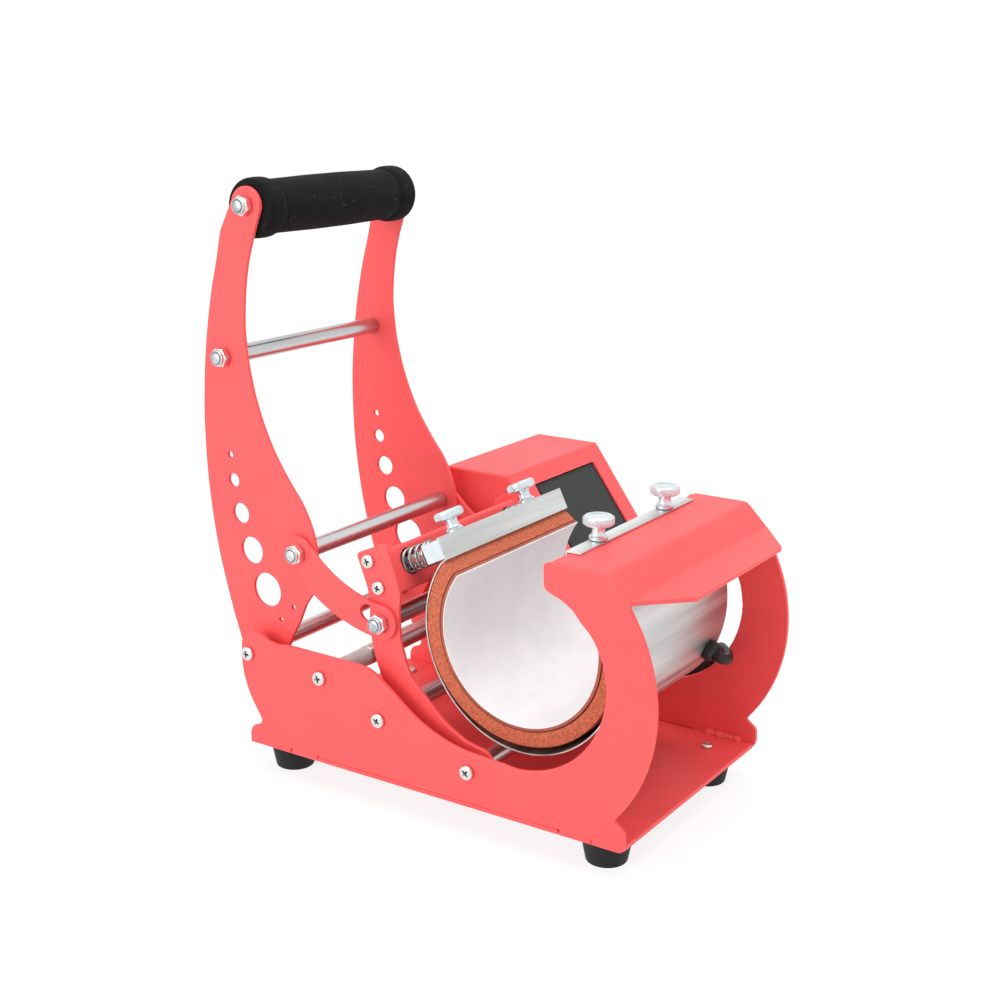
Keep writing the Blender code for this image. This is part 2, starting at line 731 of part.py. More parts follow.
def rod_screw(name, axis, side, face=HALF_WIDTH + GAP):
    """Pan head screw through a side plate into a rod end; face is where its head sits."""
    profile = [(0, face - SCREW_LENGTH), (SCREW_SHANK_RADIUS, face - SCREW_LENGTH),
               (SCREW_SHANK_RADIUS, face), (SCREW_HEAD_RADIUS, face),
               (SCREW_HEAD_RADIUS, face + SCREW_HEAD_HEIGHT / 2),
               (SCREW_HEAD_RADIUS * 3 / 4, face + SCREW_HEAD_HEIGHT), (0, face + SCREW_HEAD_HEIGHT)]
    return revolve(name, profile, (0, *axis), (side, 0, 0), bright_steel(), SMALL_STEPS)


def hex_nut(name, axis, side, inner_face, pivot_axis):
    """Hexagon nut on a rod's reduced end."""
    corner = NUT_FLAT_RADIUS / math.cos(math.pi / 6)
    near = inner_face + GAP
    edges = sorted((side * near, side * (near + NUT_HEIGHT)))
    rings = [circle(axis, corner, 6), circle(axis, STUD_HOLE, SMALL_STEPS)]
    return extrude(name, rings, edges[0], edges[1], side_place, bright_steel(), (0, *pivot_axis))


# Handle

def handle_arm(name, side):
    """Curved handle arm with its pivot hole, pin holes and lightening holes."""
    rear = smooth_line(from_shares(arm_rear_share), 2)
    front = smooth_line(from_shares(arm_front_share), 2)
    cap = arc(GRIP_AXIS, ARM_TOP_RADIUS, math.pi + math.pi / 12, -math.pi / 24, SMALL_STEPS)
    outline = front + cap + rear
    holes = [circle(HANDLE_PIVOT, PIVOT_HOLE)]
    holes += [circle(axis, STUD_HOLE, SMALL_STEPS) for axis in (LINK_PIN, SPREADER_AXIS, GRIP_AXIS)]
    holes += [circle((y, z), radius, SMALL_STEPS) for y, z, radius in from_shares(arm_hole_share)]
    edges = sorted((side * ARM_INNER_X, side * ARM_OUTER_X))
    return extrude(name, [outline] + holes, edges[0], edges[1], side_place, red_paint(), (0, *HANDLE_PIVOT))


def foam_grip():
    """Foam grip with a flared bead at each end; its loose bore hangs on the grip rod."""
    flare = GRIP_HALF - GRIP_FLARE_LENGTH
    half = [(GRIP_BORE, GRIP_HALF), (GRIP_FLARE_RADIUS - GRIP_EDGE, GRIP_HALF),
            (GRIP_FLARE_RADIUS - GRIP_EDGE / 4, GRIP_HALF - GRIP_EDGE / 3),
            (GRIP_FLARE_RADIUS, GRIP_HALF - GRIP_EDGE), (GRIP_FLARE_RADIUS, flare + GRIP_EDGE),
            (GRIP_FLARE_RADIUS - GRIP_EDGE / 4, flare + GRIP_EDGE / 3), (GRIP_WAIST_RADIUS, flare),
            ((GRIP_WAIST_RADIUS + GRIP_MIDDLE_RADIUS) / 2, flare * 2 / 3), (GRIP_MIDDLE_RADIUS, flare / 3)]
    profile = half + [(radius, -height) for radius, height in reversed(half)]
    centre = (0, GRIP_Y, GRIP_Z - GRIP_DROP)
    pivot = (0, *HANDLE_PIVOT)
    return revolve("foam_grip", profile, centre, (1, 0, 0), black_foam(), closed=True, pivot=pivot)


# Links

def link_outline():
    """Outline of a curved link between the handle pin and the swing pin."""
    start = Vector(SWING_PIN)
    end = Vector(LINK_PIN)
    chord = end - start
    down = Vector((chord.y, -chord.x)).normalized()
    radius = (chord.length ** 2 / 4 + LINK_SAG ** 2) / (2 * LINK_SAG)
    centre = (start + end) / 2 + down * (LINK_SAG - radius)
    first = angle_at(centre, start)
    last = angle_at(centre, end)
    low = arc(centre, radius + LINK_HALF_WIDTH, first, last, SMALL_STEPS)
    high = arc(centre, radius - LINK_HALF_WIDTH, last, first, SMALL_STEPS)
    end_cap = arc(end, LINK_HALF_WIDTH, last, last + math.pi, SMALL_STEPS)
    start_cap = arc(start, LINK_HALF_WIDTH, first + math.pi, first + math.tau, SMALL_STEPS)
    return low[:-1] + end_cap[:-1] + high[:-1] + start_cap[:-1]


def link_slot():
    """Clearance slot around the swing pin, along the line to the handle pin."""
    start = Vector(SWING_PIN)
    along = (Vector(LINK_PIN) - start).normalized()
    down = Vector((along.y, -along.x))
    near = start + down * LINK_SLOT_OFFSET
    far = near + along * LINK_SLOT_LENGTH
    turn = math.atan2(along.y, along.x)
    far_cap = arc(far, LINK_SLOT_RADIUS, turn - math.pi / 2, turn + math.pi / 2, SMALL_STEPS // 2)
    near_cap = arc(near, LINK_SLOT_RADIUS, turn + math.pi / 2, turn + math.pi * 3 / 2, SMALL_STEPS // 2)
    return far_cap + near_cap


def link_plate(name, side):
    """Link outside the arms on one side."""
    edges = sorted((side * LINK_INNER_X, side * LINK_OUTER_X))
    rings = [link_outline(), circle(LINK_PIN, STUD_HOLE, SMALL_STEPS), link_slot()]
    return extrude(name, rings, edges[0], edges[1], side_place, red_paint(), (0, *LINK_PIN))


# Swing frame and moving clamp

def swing_arm(name, side):
    """Curved arm from the swing pivot up to the crossbar."""
    front = smooth_line(from_shares(swing_front_share), 2)
    rear = smooth_line(from_shares(swing_rear_share), 2)
    cap = arc(SWING_PIVOT, SWING_END_RADIUS, math.pi / 2, math.pi * 3 / 2, SMALL_STEPS)
    holes = [circle(SWING_PIVOT, PIVOT_HOLE), circle(SWING_PIN, STUD_HOLE, SMALL_STEPS)]
    edges = sorted((side * ARM_INNER_X, side * ARM_OUTER_X))
    return extrude(name, [front + cap + rear] + holes, edges[0], edges[1], side_place, red_paint(),
                   (0, *SWING_PIVOT))


def spring_axis_point(distance):
    """Point on a guide's middle line, measured forward from the bar's rear face, in (y, z)."""
    forward, _ = tilt_basis()
    return Vector(BAR_CENTRE) - forward * (BAR_DEPTH / 2 - distance)


def crossbar():
    """Rectangular tube between the swing arms, bored for the springs and guides."""
    pivot = (0, *SWING_PIVOT)
    forward, _ = tilt_basis()
    tube = tilted_block("crossbar", CROSSBAR_CENTRE, CROSSBAR_HALF, CROSSBAR_DEPTH / 2, CROSSBAR_HEIGHT / 2,
                        red_paint(), pivot)
    cutters = [tilted_block("hollow", CROSSBAR_CENTRE, CROSSBAR_HALF * 2, CROSSBAR_DEPTH / 2 - CROSSBAR_WALL,
                            CROSSBAR_HEIGHT / 2 - CROSSBAR_WALL, red_paint())]
    reach = crossbar_reach()
    for x in (-SPRING_X, SPRING_X):
        start = spring_axis_point(-reach + CROSSBAR_DEPTH / 2)
        cutters.append(rod_cutter((x, *start), (0, *forward), SPRING_HOLE, CROSSBAR_DEPTH, ROUND_STEPS))
        start = spring_axis_point(-reach - CROSSBAR_DEPTH / 2)
        cutters.append(rod_cutter((x, *start), (0, *forward), GUIDE_HOLE, CROSSBAR_DEPTH))
    return cut(tube, cutters)


def crossbar_reach():
    """Distance from the bar's rear face back to the crossbar's rear face."""
    forward, _ = tilt_basis()
    return (spring_axis_point(0) - Vector(CROSSBAR_CENTRE)).dot(forward) + CROSSBAR_DEPTH / 2


def clamp_bar():
    """Solid bar with two guide studs that slide in the crossbar."""
    pivot = (0, *BAR_CENTRE)
    forward, upward = tilt_basis()
    bar = tilted_block("clamp_bar", BAR_CENTRE, BAR_HALF, BAR_DEPTH / 2, BAR_HEIGHT / 2, zinc_steel(), pivot)
    length = crossbar_reach() + GUIDE_TAIL
    studs = []
    holes = []
    for x in (-SPRING_X, SPRING_X):
        start = spring_axis_point(-length)
        studs.append(rod_cutter((x, *start), (0, *forward), GUIDE_RADIUS, length + BAR_DEPTH / 2))
    for x in (-THUMB_X, THUMB_X):
        start = Vector(BAR_CENTRE) - upward * BAR_HEIGHT
        holes.append(rod_cutter((x, *start), (0, *upward), THUMB_HOLE, BAR_HEIGHT * 2))
    cut(bar, studs, "UNION")
    return cut(bar, holes)


def spring_points(x):
    """Middle line of one compression spring, closed turns at both ends."""
    forward, upward = tilt_basis()
    inset = SPRING_WIRE_RADIUS + GAP
    start = -crossbar_reach() + CROSSBAR_WALL + inset
    length = -inset - start
    middle_turns = SPRING_TURNS - 2
    pitch = (length - 2 * SPRING_RISE * 2) / middle_turns
    per_turn = 10
    points = []
    for i in range(SPRING_TURNS * per_turn + 1):
        turn = i / per_turn
        if turn < 1:
            height = SPRING_RISE * 2 * turn
        elif turn > SPRING_TURNS - 1:
            height = length - SPRING_RISE * 2 * (SPRING_TURNS - turn)
        else:
            height = SPRING_RISE * 2 + pitch * (turn - 1)
        angle = math.tau * turn
        centre = spring_axis_point(start + height)
        ring = centre + upward * SPRING_MEAN_RADIUS * math.cos(angle)
        points.append(Vector((x + SPRING_MEAN_RADIUS * math.sin(angle), ring.x, ring.y)))
    return points


def tube_curve(name, points, radius, material, resolution):
    """Solid round tube along a middle line."""
    curve = bpy.data.curves.new(name, "CURVE")
    curve.dimensions = "3D"
    curve.bevel_depth = radius
    curve.bevel_resolution = resolution
    curve.render_resolution_u = 0
    curve.use_fill_caps = True
    spline = curve.splines.new("POLY")
    spline.points.add(len(points) - 1)
    base = points[0]
    for spot, point in zip(spline.points, points):
        spot.co = (*(point - base), 1)
    curve.materials.append(material)
    obj = bpy.data.objects.new(name, curve)
    bpy.context.scene.collection.objects.link(obj)
    obj.location = base
    return obj


def clamp_spring(name, x):
    """Compression spring around one guide."""
    points = spring_points(x)
    least = min((points[i] - points[i + 10]).length for i in range(len(points) - 10)) - 2 * SPRING_WIRE_RADIUS
    print(name, "least gap between turns", round(least * 1000, 2), "mm")
    return tube_curve(name, points, SPRING_WIRE_RADIUS, spring_steel(), 1)


def thumb_screw(name, base, direction, depth):
    """Knurled thumb screw; base is the face that its collar stands on."""
    collar = GAP + THUMB_COLLAR_HEIGHT
    neck = collar + THUMB_NECK_HEIGHT
    head = neck + THUMB_HEAD_HEIGHT
    edge = THUMB_HEAD_HEIGHT / 6
    profile = [(0, -depth), (THUMB_SHANK_RADIUS, -depth), (THUMB_SHANK_RADIUS, GAP),
               (THUMB_COLLAR_RADIUS, GAP), (THUMB_COLLAR_RADIUS, collar),
               (THUMB_NECK_RADIUS, collar + edge), (THUMB_NECK_RADIUS, neck - edge),
               (THUMB_HEAD_RADIUS - edge, neck), (THUMB_HEAD_RADIUS, neck + edge),
               (THUMB_HEAD_RADIUS, head - edge), (THUMB_HEAD_RADIUS - edge, head), (0, head)]
    return revolve(name, profile, base, direction, zinc_steel())


# Heater wrap

def wrap_ring(name, inner, outer, rear_angle, front_angle, material):
    """Open ring of the wrap, drawn anticlockwise from the front end to the rear end."""
    centre = (WRAP_Y, WRAP_Z)
    outside = arc(centre, outer, front_angle, rear_angle, WRAP_STEPS)
    inside = arc(centre, inner, rear_angle, front_angle, WRAP_STEPS)
    return shade(extrude(name, [outside + inside], -WRAP_HALF, WRAP_HALF, side_place, material))


def shell_radius(angle, base):
    """Shell radius at an angle: the shell hangs clear of the sponge at the bottom."""
    drop = max(0, -math.sin(angle + math.pi / 12))
    return base + SHELL_SAG * drop ** 2


def shell_line():
    """Middle line of the shell from its front flange to its rear flange."""
    base = SHELL_INNER + SHELL_SHEET / 2
    flange_z = HOOD_TOP + GAP + SHELL_SHEET / 2
    line = [(FLANGE_FRONT_Y, flange_z), (FLANGE_RISER_Y, flange_z), (FLANGE_RISER_Y, FLANGE_RISER_Z)]
    for i in range(WRAP_STEPS + 1):
        angle = WRAP_FRONT_ANGLE + (SHELL_REAR_ANGLE - WRAP_FRONT_ANGLE) * i / WRAP_STEPS
        radius = shell_radius(angle, base)
        line.append((WRAP_Y + radius * math.cos(angle), WRAP_Z + radius * math.sin(angle)))
    line += [FLANGE_REAR_FOOT, FLANGE_REAR_TOP]
    return line


def heater_shell():
    """Stainless sheet around the wrap, bent out to a flange at each end."""
    line = shell_line()
    outline = offset_line(line, SHELL_SHEET / 2) + list(reversed(offset_line(line, -SHELL_SHEET / 2)))
    shell = extrude("heater_shell", [outline], -WRAP_HALF, WRAP_HALF, side_place, wrap_steel())
    cutters = []
    for x in (-THUMB_X, THUMB_X):
        cutters.append(rod_cutter((x, THUMB_FRONT_Y, HOOD_TOP - SHELL_SHEET), (0, 0, 1), FLANGE_SLOT,
                                  SHELL_SHEET * 4))
    return shade(cut(shell, cutters))


# Heater lead

def gland_axis():
    """Start point and outward direction of the lead where it leaves the wrap."""
    direction = Vector((0, math.cos(GLAND_ANGLE), math.sin(GLAND_ANGLE)))
    radius = shell_radius(GLAND_ANGLE - math.tau, SHELL_INNER + SHELL_SHEET) + GAP * 2
    start = Vector((GLAND_X, WRAP_Y, WRAP_Z)) + direction * radius
    return start, direction


def lead_gland():
    """Round bush on the shell that holds the lead."""
    start, direction = gland_axis()
    profile = [(LEAD_BORE, 0), (GLAND_RADIUS, 0), (GLAND_RADIUS, GLAND_LENGTH * 2 / 3),
               (GLAND_RADIUS * 3 / 4, GLAND_LENGTH), (LEAD_BORE, GLAND_LENGTH)]
    return revolve("lead_gland", profile, start, direction, black_plastic(), closed=True)


def lead_place(row):
    """Point of the lead from its shares; x counts from the side plate's outer face."""
    x, y, z = row
    return Vector((HALF_WIDTH + x * LEAD_UNIT, y * LEAD_UNIT, z * LEAD_UNIT))


def lead_points():
    """Middle line of the lead from the gland, through the right hook, to the box."""
    start, direction = gland_axis()
    rows = (*lead_route_share, boot_start_share, boot_finish_share, *lead_tail_share)
    middle = [lead_place(row) for row in rows]
    entry = Vector((middle[-1].x, BOX_FRONT - GAP, middle[-1].z))
    knots = [start + direction * (GAP + GLAND_LENGTH * i / 2) for i in range(3)] + middle + [entry]
    return [Vector(p) for p in smooth_line(knots, 3)]


def heater_lead():
    """Insulated lead between the wrap and the control box."""
    return tube_curve("heater_lead", lead_points(), LEAD_RADIUS, black_plastic(), 3)


def lead_boot():
    """Stiff sleeve over the joint in the lead."""
    start = lead_place(boot_start_share)
    finish_point = lead_place(boot_finish_share)
    direction = (finish_point - start).normalized()
    edge = BOOT_RADIUS / 6
    profile = [(LEAD_BORE + GAP, 0), (BOOT_RADIUS - edge, 0), (BOOT_RADIUS, edge),
               (BOOT_RADIUS, BOOT_LENGTH - edge), (BOOT_RADIUS - edge, BOOT_LENGTH),
               (LEAD_BORE + GAP, BOOT_LENGTH)]
    base = (start + finish_point) / 2 - direction * BOOT_LENGTH / 2
    return revolve("lead_boot", profile, base, direction, black_plastic(), closed=True)


# Control box

def box_outline(inset):
    """Side-view outline of the box, moved inwards by inset; the bottom edge stays."""
    corners = [(BOX_REAR, 0), (BOX_REAR, BOX_TOP), (BOX_TOP_FRONT, BOX_TOP), (BOX_FRONT, BOX_SLANT_LOW),
               (BOX_FRONT, 0)]
    if inset == 0:
        return corners
    moved = offset_line(corners, -inset)
    moved[0] = (moved[0][0], -inset)
    moved[-1] = (moved[-1][0], -inset)
    return moved


def slant_point(distance, depth):
    """Point on the slanted face in (y, z): distance down from its top edge, depth inwards."""
    along = (Vector((BOX_FRONT, BOX_SLANT_LOW)) - Vector((BOX_TOP_FRONT, BOX_TOP))).normalized()
    inward = Vector((-along.y, along.x))
    return Vector((BOX_TOP_FRONT, BOX_TOP)) + along * distance + inward * depth


def slant_block(name, left, right, near, far, shallow, deep, material):
    """Box shape lying in the slanted face, between two distances and two depths."""
    ring = [tuple(slant_point(near, shallow)), tuple(slant_point(far, shallow)),
            tuple(slant_point(far, deep)), tuple(slant_point(near, deep))]
    return extrude(name, [ring], left, right, side_place, material)


def control_box():
    """Folded sheet housing, open below, with a panel window and an inlet window."""
    body = extrude("control_box", [box_outline(0)], BOX_LEFT, BOX_RIGHT, side_place, red_paint())
    cutters = [
        extrude("hollow", [box_outline(BOX_WALL)], BOX_LEFT + BOX_WALL, BOX_RIGHT - BOX_WALL, side_place,
                red_paint()),
        slant_block("window", PANEL_LEFT, PANEL_RIGHT, PANEL_DROP, PANEL_DROP + PANEL_HEIGHT, -BOX_WALL,
                    BOX_WALL * 2, red_paint()),
        block("inlet_window", inlet_corner(-1, -BOX_WALL * 2, GAP), inlet_corner(1, BOX_WALL * 2, GAP),
              red_paint()),
    ]
    for axis in (STOP_AXIS, SPACER_AXIS):
        cutters.append(rod_cutter((BOX_LEFT - BOX_WALL, *axis), (1, 0, 0), SCREW_HOLE, BOX_WALL * 3))
    return cut(body, cutters)


def inlet_corner(side, depth, clearance):
    """Corner of the inlet's body hole in the rear wall; depth runs outwards from the wall."""
    half_width = INLET_WIDTH / 2 - INLET_BODY_INSET + clearance
    half_height = INLET_HEIGHT / 2 - INLET_BODY_INSET + clearance
    return (INLET_X + side * half_width, BOX_REAR + depth, INLET_Z + side * half_height)


def box_cover():
    """Bottom plate that closes the control box."""
    clear = BOX_WALL + GAP
    return block("box_cover", (BOX_LEFT + clear, BOX_FRONT + clear, 0),
                 (BOX_RIGHT - clear, BOX_REAR - clear, BOX_WALL), red_paint())


def control_panel():
    """Blank black panel set into the slanted face."""
    return slant_block("control_panel", PANEL_LEFT + GAP, PANEL_RIGHT - GAP, PANEL_DROP + GAP,
                       PANEL_DROP + PANEL_HEIGHT - GAP, PANEL_RECESS, PANEL_RECESS + PANEL_THICKNESS,
                       black_plastic())


def power_inlet():
    """Inlet block with a three-pin socket below and a rocker window above."""
    face = BOX_REAR + GAP
    back = face + INLET_FLANGE
    flange = block("power_inlet", (INLET_X - INLET_WIDTH / 2, face, INLET_Z - INLET_HEIGHT / 2),
                   (INLET_X + INLET_WIDTH / 2, back, INLET_Z + INLET_HEIGHT / 2), black_plastic())
    body = block("body", inlet_corner(-1, -INLET_DEPTH, 0), inlet_corner(1, GAP + INLET_FLANGE / 2, 0),
                 black_plastic())
    cut(flange, [body], "UNION")
    socket_z = INLET_Z - SOCKET_DROP
    floor = back - SOCKET_DEPTH
    rocker_z = INLET_Z + ROCKER_RAISE
    outside = back + INLET_FLANGE
    socket = block("socket", (INLET_X - SOCKET_WIDTH / 2, floor, socket_z - SOCKET_HEIGHT / 2),
                   (INLET_X + SOCKET_WIDTH / 2, outside, socket_z + SOCKET_HEIGHT / 2), black_plastic())
    half_width = ROCKER_WIDTH / 2 + ROCKER_CLEARANCE
    half_height = ROCKER_HEIGHT / 2 + ROCKER_CLEARANCE
    window = block("rocker_window", (INLET_X - half_width, back - SOCKET_DEPTH, rocker_z - half_height),
                   (INLET_X + half_width, outside, rocker_z + half_height), black_plastic())
    cut(flange, [socket, window])
    pins = []
    for offset, rise in ((-PIN_PITCH, 0), (0, PIN_RISE), (PIN_PITCH, 0)):
        x = INLET_X + offset
        z = socket_z - PIN_RISE / 2 + rise
        pins.append(block("pin", (x - PIN_WIDTH / 2, floor - INLET_FLANGE, z - PIN_HEIGHT / 2),
                          (x + PIN_WIDTH / 2, floor + PIN_LENGTH, z + PIN_HEIGHT / 2), black_plastic()))
    return cut(flange, pins, "UNION")


def power_rocker():
    """Rocker of the power switch, stored tilted with its lower half proud."""
    face = BOX_REAR + GAP + INLET_FLANGE
    centre_z = INLET_Z + ROCKER_RAISE
    pivot = Vector((INLET_X, face - ROCKER_DEPTH / 2, centre_z))
    half = ROCKER_HEIGHT / 2
    rise = half * math.tan(ROCKER_TILT)
    ring = []
    for u, v in ((-ROCKER_DEPTH / 2, -half), (ROCKER_DEPTH / 2 + rise, -half), (ROCKER_DEPTH / 2, 0),
                 (ROCKER_DEPTH / 2 + rise, half), (-ROCKER_DEPTH / 2, half)):
        turned = Vector((u * math.cos(ROCKER_TILT) - v * math.sin(ROCKER_TILT),
                         u * math.sin(ROCKER_TILT) + v * math.cos(ROCKER_TILT)))
        ring.append((pivot.y + turned.x, pivot.z + turned.y))
    return extrude("power_rocker", [ring], INLET_X - ROCKER_WIDTH / 2, INLET_X + ROCKER_WIDTH / 2, side_place,
                   gloss_plastic(), pivot)


# Assembly

SIDES = (("left", -1), ("right", 1))


def build_frame():
    """Base, side plates, hood and feet."""
    base_plate()
    for word, side in SIDES:
        side_plate("side_plate_" + word, side)
    hood()
    for word, side in SIDES:
        foot("foot_front_" + word, side * FOOT_X, FOOT_FRONT_Y)
        foot("foot_rear_" + word, side * FOOT_X, FOOT_REAR_Y)


def build_rods():
    """Four cross rods, their screws and the stop sleeves."""
    plain_rod("handle_pivot_rod", HANDLE_PIVOT)
    plain_rod("spacer_rod", SPACER_AXIS)
    plain_rod("swing_pivot_rod", SWING_PIVOT)
    stop_rod()
    for word, side in SIDES:
        stop_sleeve("stop_sleeve_" + word, side)
        rod_screw("handle_pivot_screw_" + word, HANDLE_PIVOT, side)
        rod_screw("swing_pivot_screw_" + word, SWING_PIVOT, side)
    for name, axis in (("stop_screw_", STOP_AXIS), ("spacer_screw_", SPACER_AXIS)):
        rod_screw(name + "left", axis, -1)
        rod_screw(name + "right", axis, 1, BOX_LEFT + BOX_WALL + GAP)


def build_handle():
    """Handle arms, their rods and nuts, and the foam grip."""
    for word, side in SIDES:
        handle_arm("handle_arm_" + word, side)
        hex_nut("grip_nut_" + word, GRIP_AXIS, side, ARM_OUTER_X, HANDLE_PIVOT)
        hex_nut("spreader_nut_" + word, SPREADER_AXIS, side, ARM_OUTER_X, HANDLE_PIVOT)
        hex_nut("link_nut_" + word, LINK_PIN, side, LINK_OUTER_X, HANDLE_PIVOT)
    pin_rod("grip_rod", GRIP_AXIS, PIN_END_ARM, HANDLE_PIVOT, GRIP_ROD_RADIUS)
    pin_rod("spreader_rod", SPREADER_AXIS, PIN_END_ARM, HANDLE_PIVOT)
    pin_rod("link_rod", LINK_PIN, PIN_END_LINK, HANDLE_PIVOT)
    foam_grip()


def build_links():
    """The two links."""
    for word, side in SIDES:
        link_plate("link_" + word, side)


def build_swing():
    """Swing arms, crossbar and the pin that the links push."""
    for word, side in SIDES:
        swing_arm("swing_arm_" + word, side)
        hex_nut("swing_nut_" + word, SWING_PIN, side, LINK_OUTER_X, SWING_PIVOT)
    pin_rod("swing_rod", SWING_PIN, PIN_END_LINK, SWING_PIVOT)
    crossbar()


def build_clamp():
    """Sliding clamp bar, its springs and its thumb screws."""
    _, upward = tilt_basis()
    clamp_bar()
    top = Vector(BAR_CENTRE) + upward * BAR_HEIGHT / 2
    for word, side in SIDES:
        clamp_spring("clamp_spring_" + word, side * SPRING_X)
        thumb_screw("rear_thumb_screw_" + word, (side * THUMB_X, *top), (0, *upward), THUMB_REAR_DEPTH)


def build_heater():
    """Wrap layers, front thumb screws and the lead."""
    wrap_ring("heater_liner", LINER_INNER, LINER_OUTER, WRAP_REAR_ANGLE, WRAP_FRONT_ANGLE, liner_white())
    wrap_ring("heater_sponge", SPONGE_INNER, SPONGE_OUTER, WRAP_REAR_ANGLE, WRAP_FRONT_ANGLE,
              sponge_silicone())
    heater_shell()
    top = HOOD_TOP + GAP + SHELL_SHEET
    for word, side in SIDES:
        thumb_screw("front_thumb_screw_" + word, (side * THUMB_X, THUMB_FRONT_Y, top), (0, 0, 1),
                    THUMB_FRONT_DEPTH)
    lead_gland()
    heater_lead()
    lead_boot()


def build_control():
    """Control box with its cover, panel, inlet and rocker."""
    control_box()
    box_cover()
    control_panel()
    power_inlet()
    power_rocker()


def place_on_origin():
    """Hang everything on a root empty so that the origin is under the middle."""
    left = -(HALF_WIDTH + GAP + SCREW_HEAD_HEIGHT)
    rear = max(y for y, _ in smooth_line(from_shares(arm_rear_share), 2))
    root = bpy.data.objects.new("press_root", None)
    parts = list(bpy.data.objects)
    bpy.context.scene.collection.objects.link(root)
    root.location = (-(left + BOX_RIGHT) / 2, -(rear + HOOD_LIP_Y) / 2, FOOT_HEIGHT + GAP)
    for part in parts:
        if part is not root:
            part.parent = root
    print("root at", [round(v, 6) for v in root.location])


def main():
    """Build the whole press."""
    for obj in list(bpy.data.objects):
        bpy.data.objects.remove(obj)
    build_frame()
    build_rods()
    build_handle()
    build_links()
    build_swing()
    build_clamp()
    build_heater()
    build_control()
    place_on_origin()


main()
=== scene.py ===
"""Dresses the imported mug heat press: fine sheet parts, fasteners, wrap, grip and studio.

Sub-assemblies are built in press coordinates: x = 0 on the centre plane between
the side plates, z = 0 on the underside of the base sheet, -Y is the front. A
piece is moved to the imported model's frame when its mesh is made.
"""

import logging
import math
from dataclasses import dataclass
from enum import Enum
from typing import Callable, Iterable, Sequence

import bpy
from mathutils import Matrix, Vector
from mathutils.geometry import tessellate_polygon


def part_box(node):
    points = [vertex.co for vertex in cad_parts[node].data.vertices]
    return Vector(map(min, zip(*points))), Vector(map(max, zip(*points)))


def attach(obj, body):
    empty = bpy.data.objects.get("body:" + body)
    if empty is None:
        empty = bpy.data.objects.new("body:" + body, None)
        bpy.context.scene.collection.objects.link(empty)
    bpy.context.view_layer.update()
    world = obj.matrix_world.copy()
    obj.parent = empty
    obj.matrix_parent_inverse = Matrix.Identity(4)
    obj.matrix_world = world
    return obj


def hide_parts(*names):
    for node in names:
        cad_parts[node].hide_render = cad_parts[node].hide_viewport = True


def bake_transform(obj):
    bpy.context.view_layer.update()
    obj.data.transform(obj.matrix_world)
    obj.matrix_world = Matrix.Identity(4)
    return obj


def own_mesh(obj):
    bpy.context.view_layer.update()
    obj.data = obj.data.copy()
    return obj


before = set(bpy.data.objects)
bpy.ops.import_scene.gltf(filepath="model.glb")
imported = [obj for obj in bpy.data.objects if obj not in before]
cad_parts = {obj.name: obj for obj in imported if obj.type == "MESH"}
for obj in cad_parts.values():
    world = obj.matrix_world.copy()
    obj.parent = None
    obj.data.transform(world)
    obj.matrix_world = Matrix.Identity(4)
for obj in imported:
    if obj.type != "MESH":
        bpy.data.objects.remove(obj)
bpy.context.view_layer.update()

log = logging.getLogger("mug_heat_press")

Pair = tuple[float, float]
Triple = tuple[float, float, float]
Ring = list[Pair]
Node = bpy.types.Node
Socket = bpy.types.NodeSocket
Sockets = bpy.types.bpy_prop_collection
Object = bpy.types.Object

SIDES = (("left", -1), ("right", 1))
ALONG_X = Vector((1, 0, 0))
ALONG_Z = Vector((0, 0, 1))
TINY = 1e-7
MITRE_LIMIT = 0.35
SHARP_TURN = 0.85


class Facing(Enum):
    """The plane that an outline is drawn in, as its (u, v, w) directions."""

    SIDE = Matrix(((0, 0, 1), (1, 0, 0), (0, 1, 0)))
    PLAN = Matrix(((1, 0, 0), (0, 1, 0), (0, 0, 1)))
    REAR = Matrix(((-1, 0, 0), (0, 0, 1), (0, 1, 0)))


# Sizes shared by the sub-assemblies


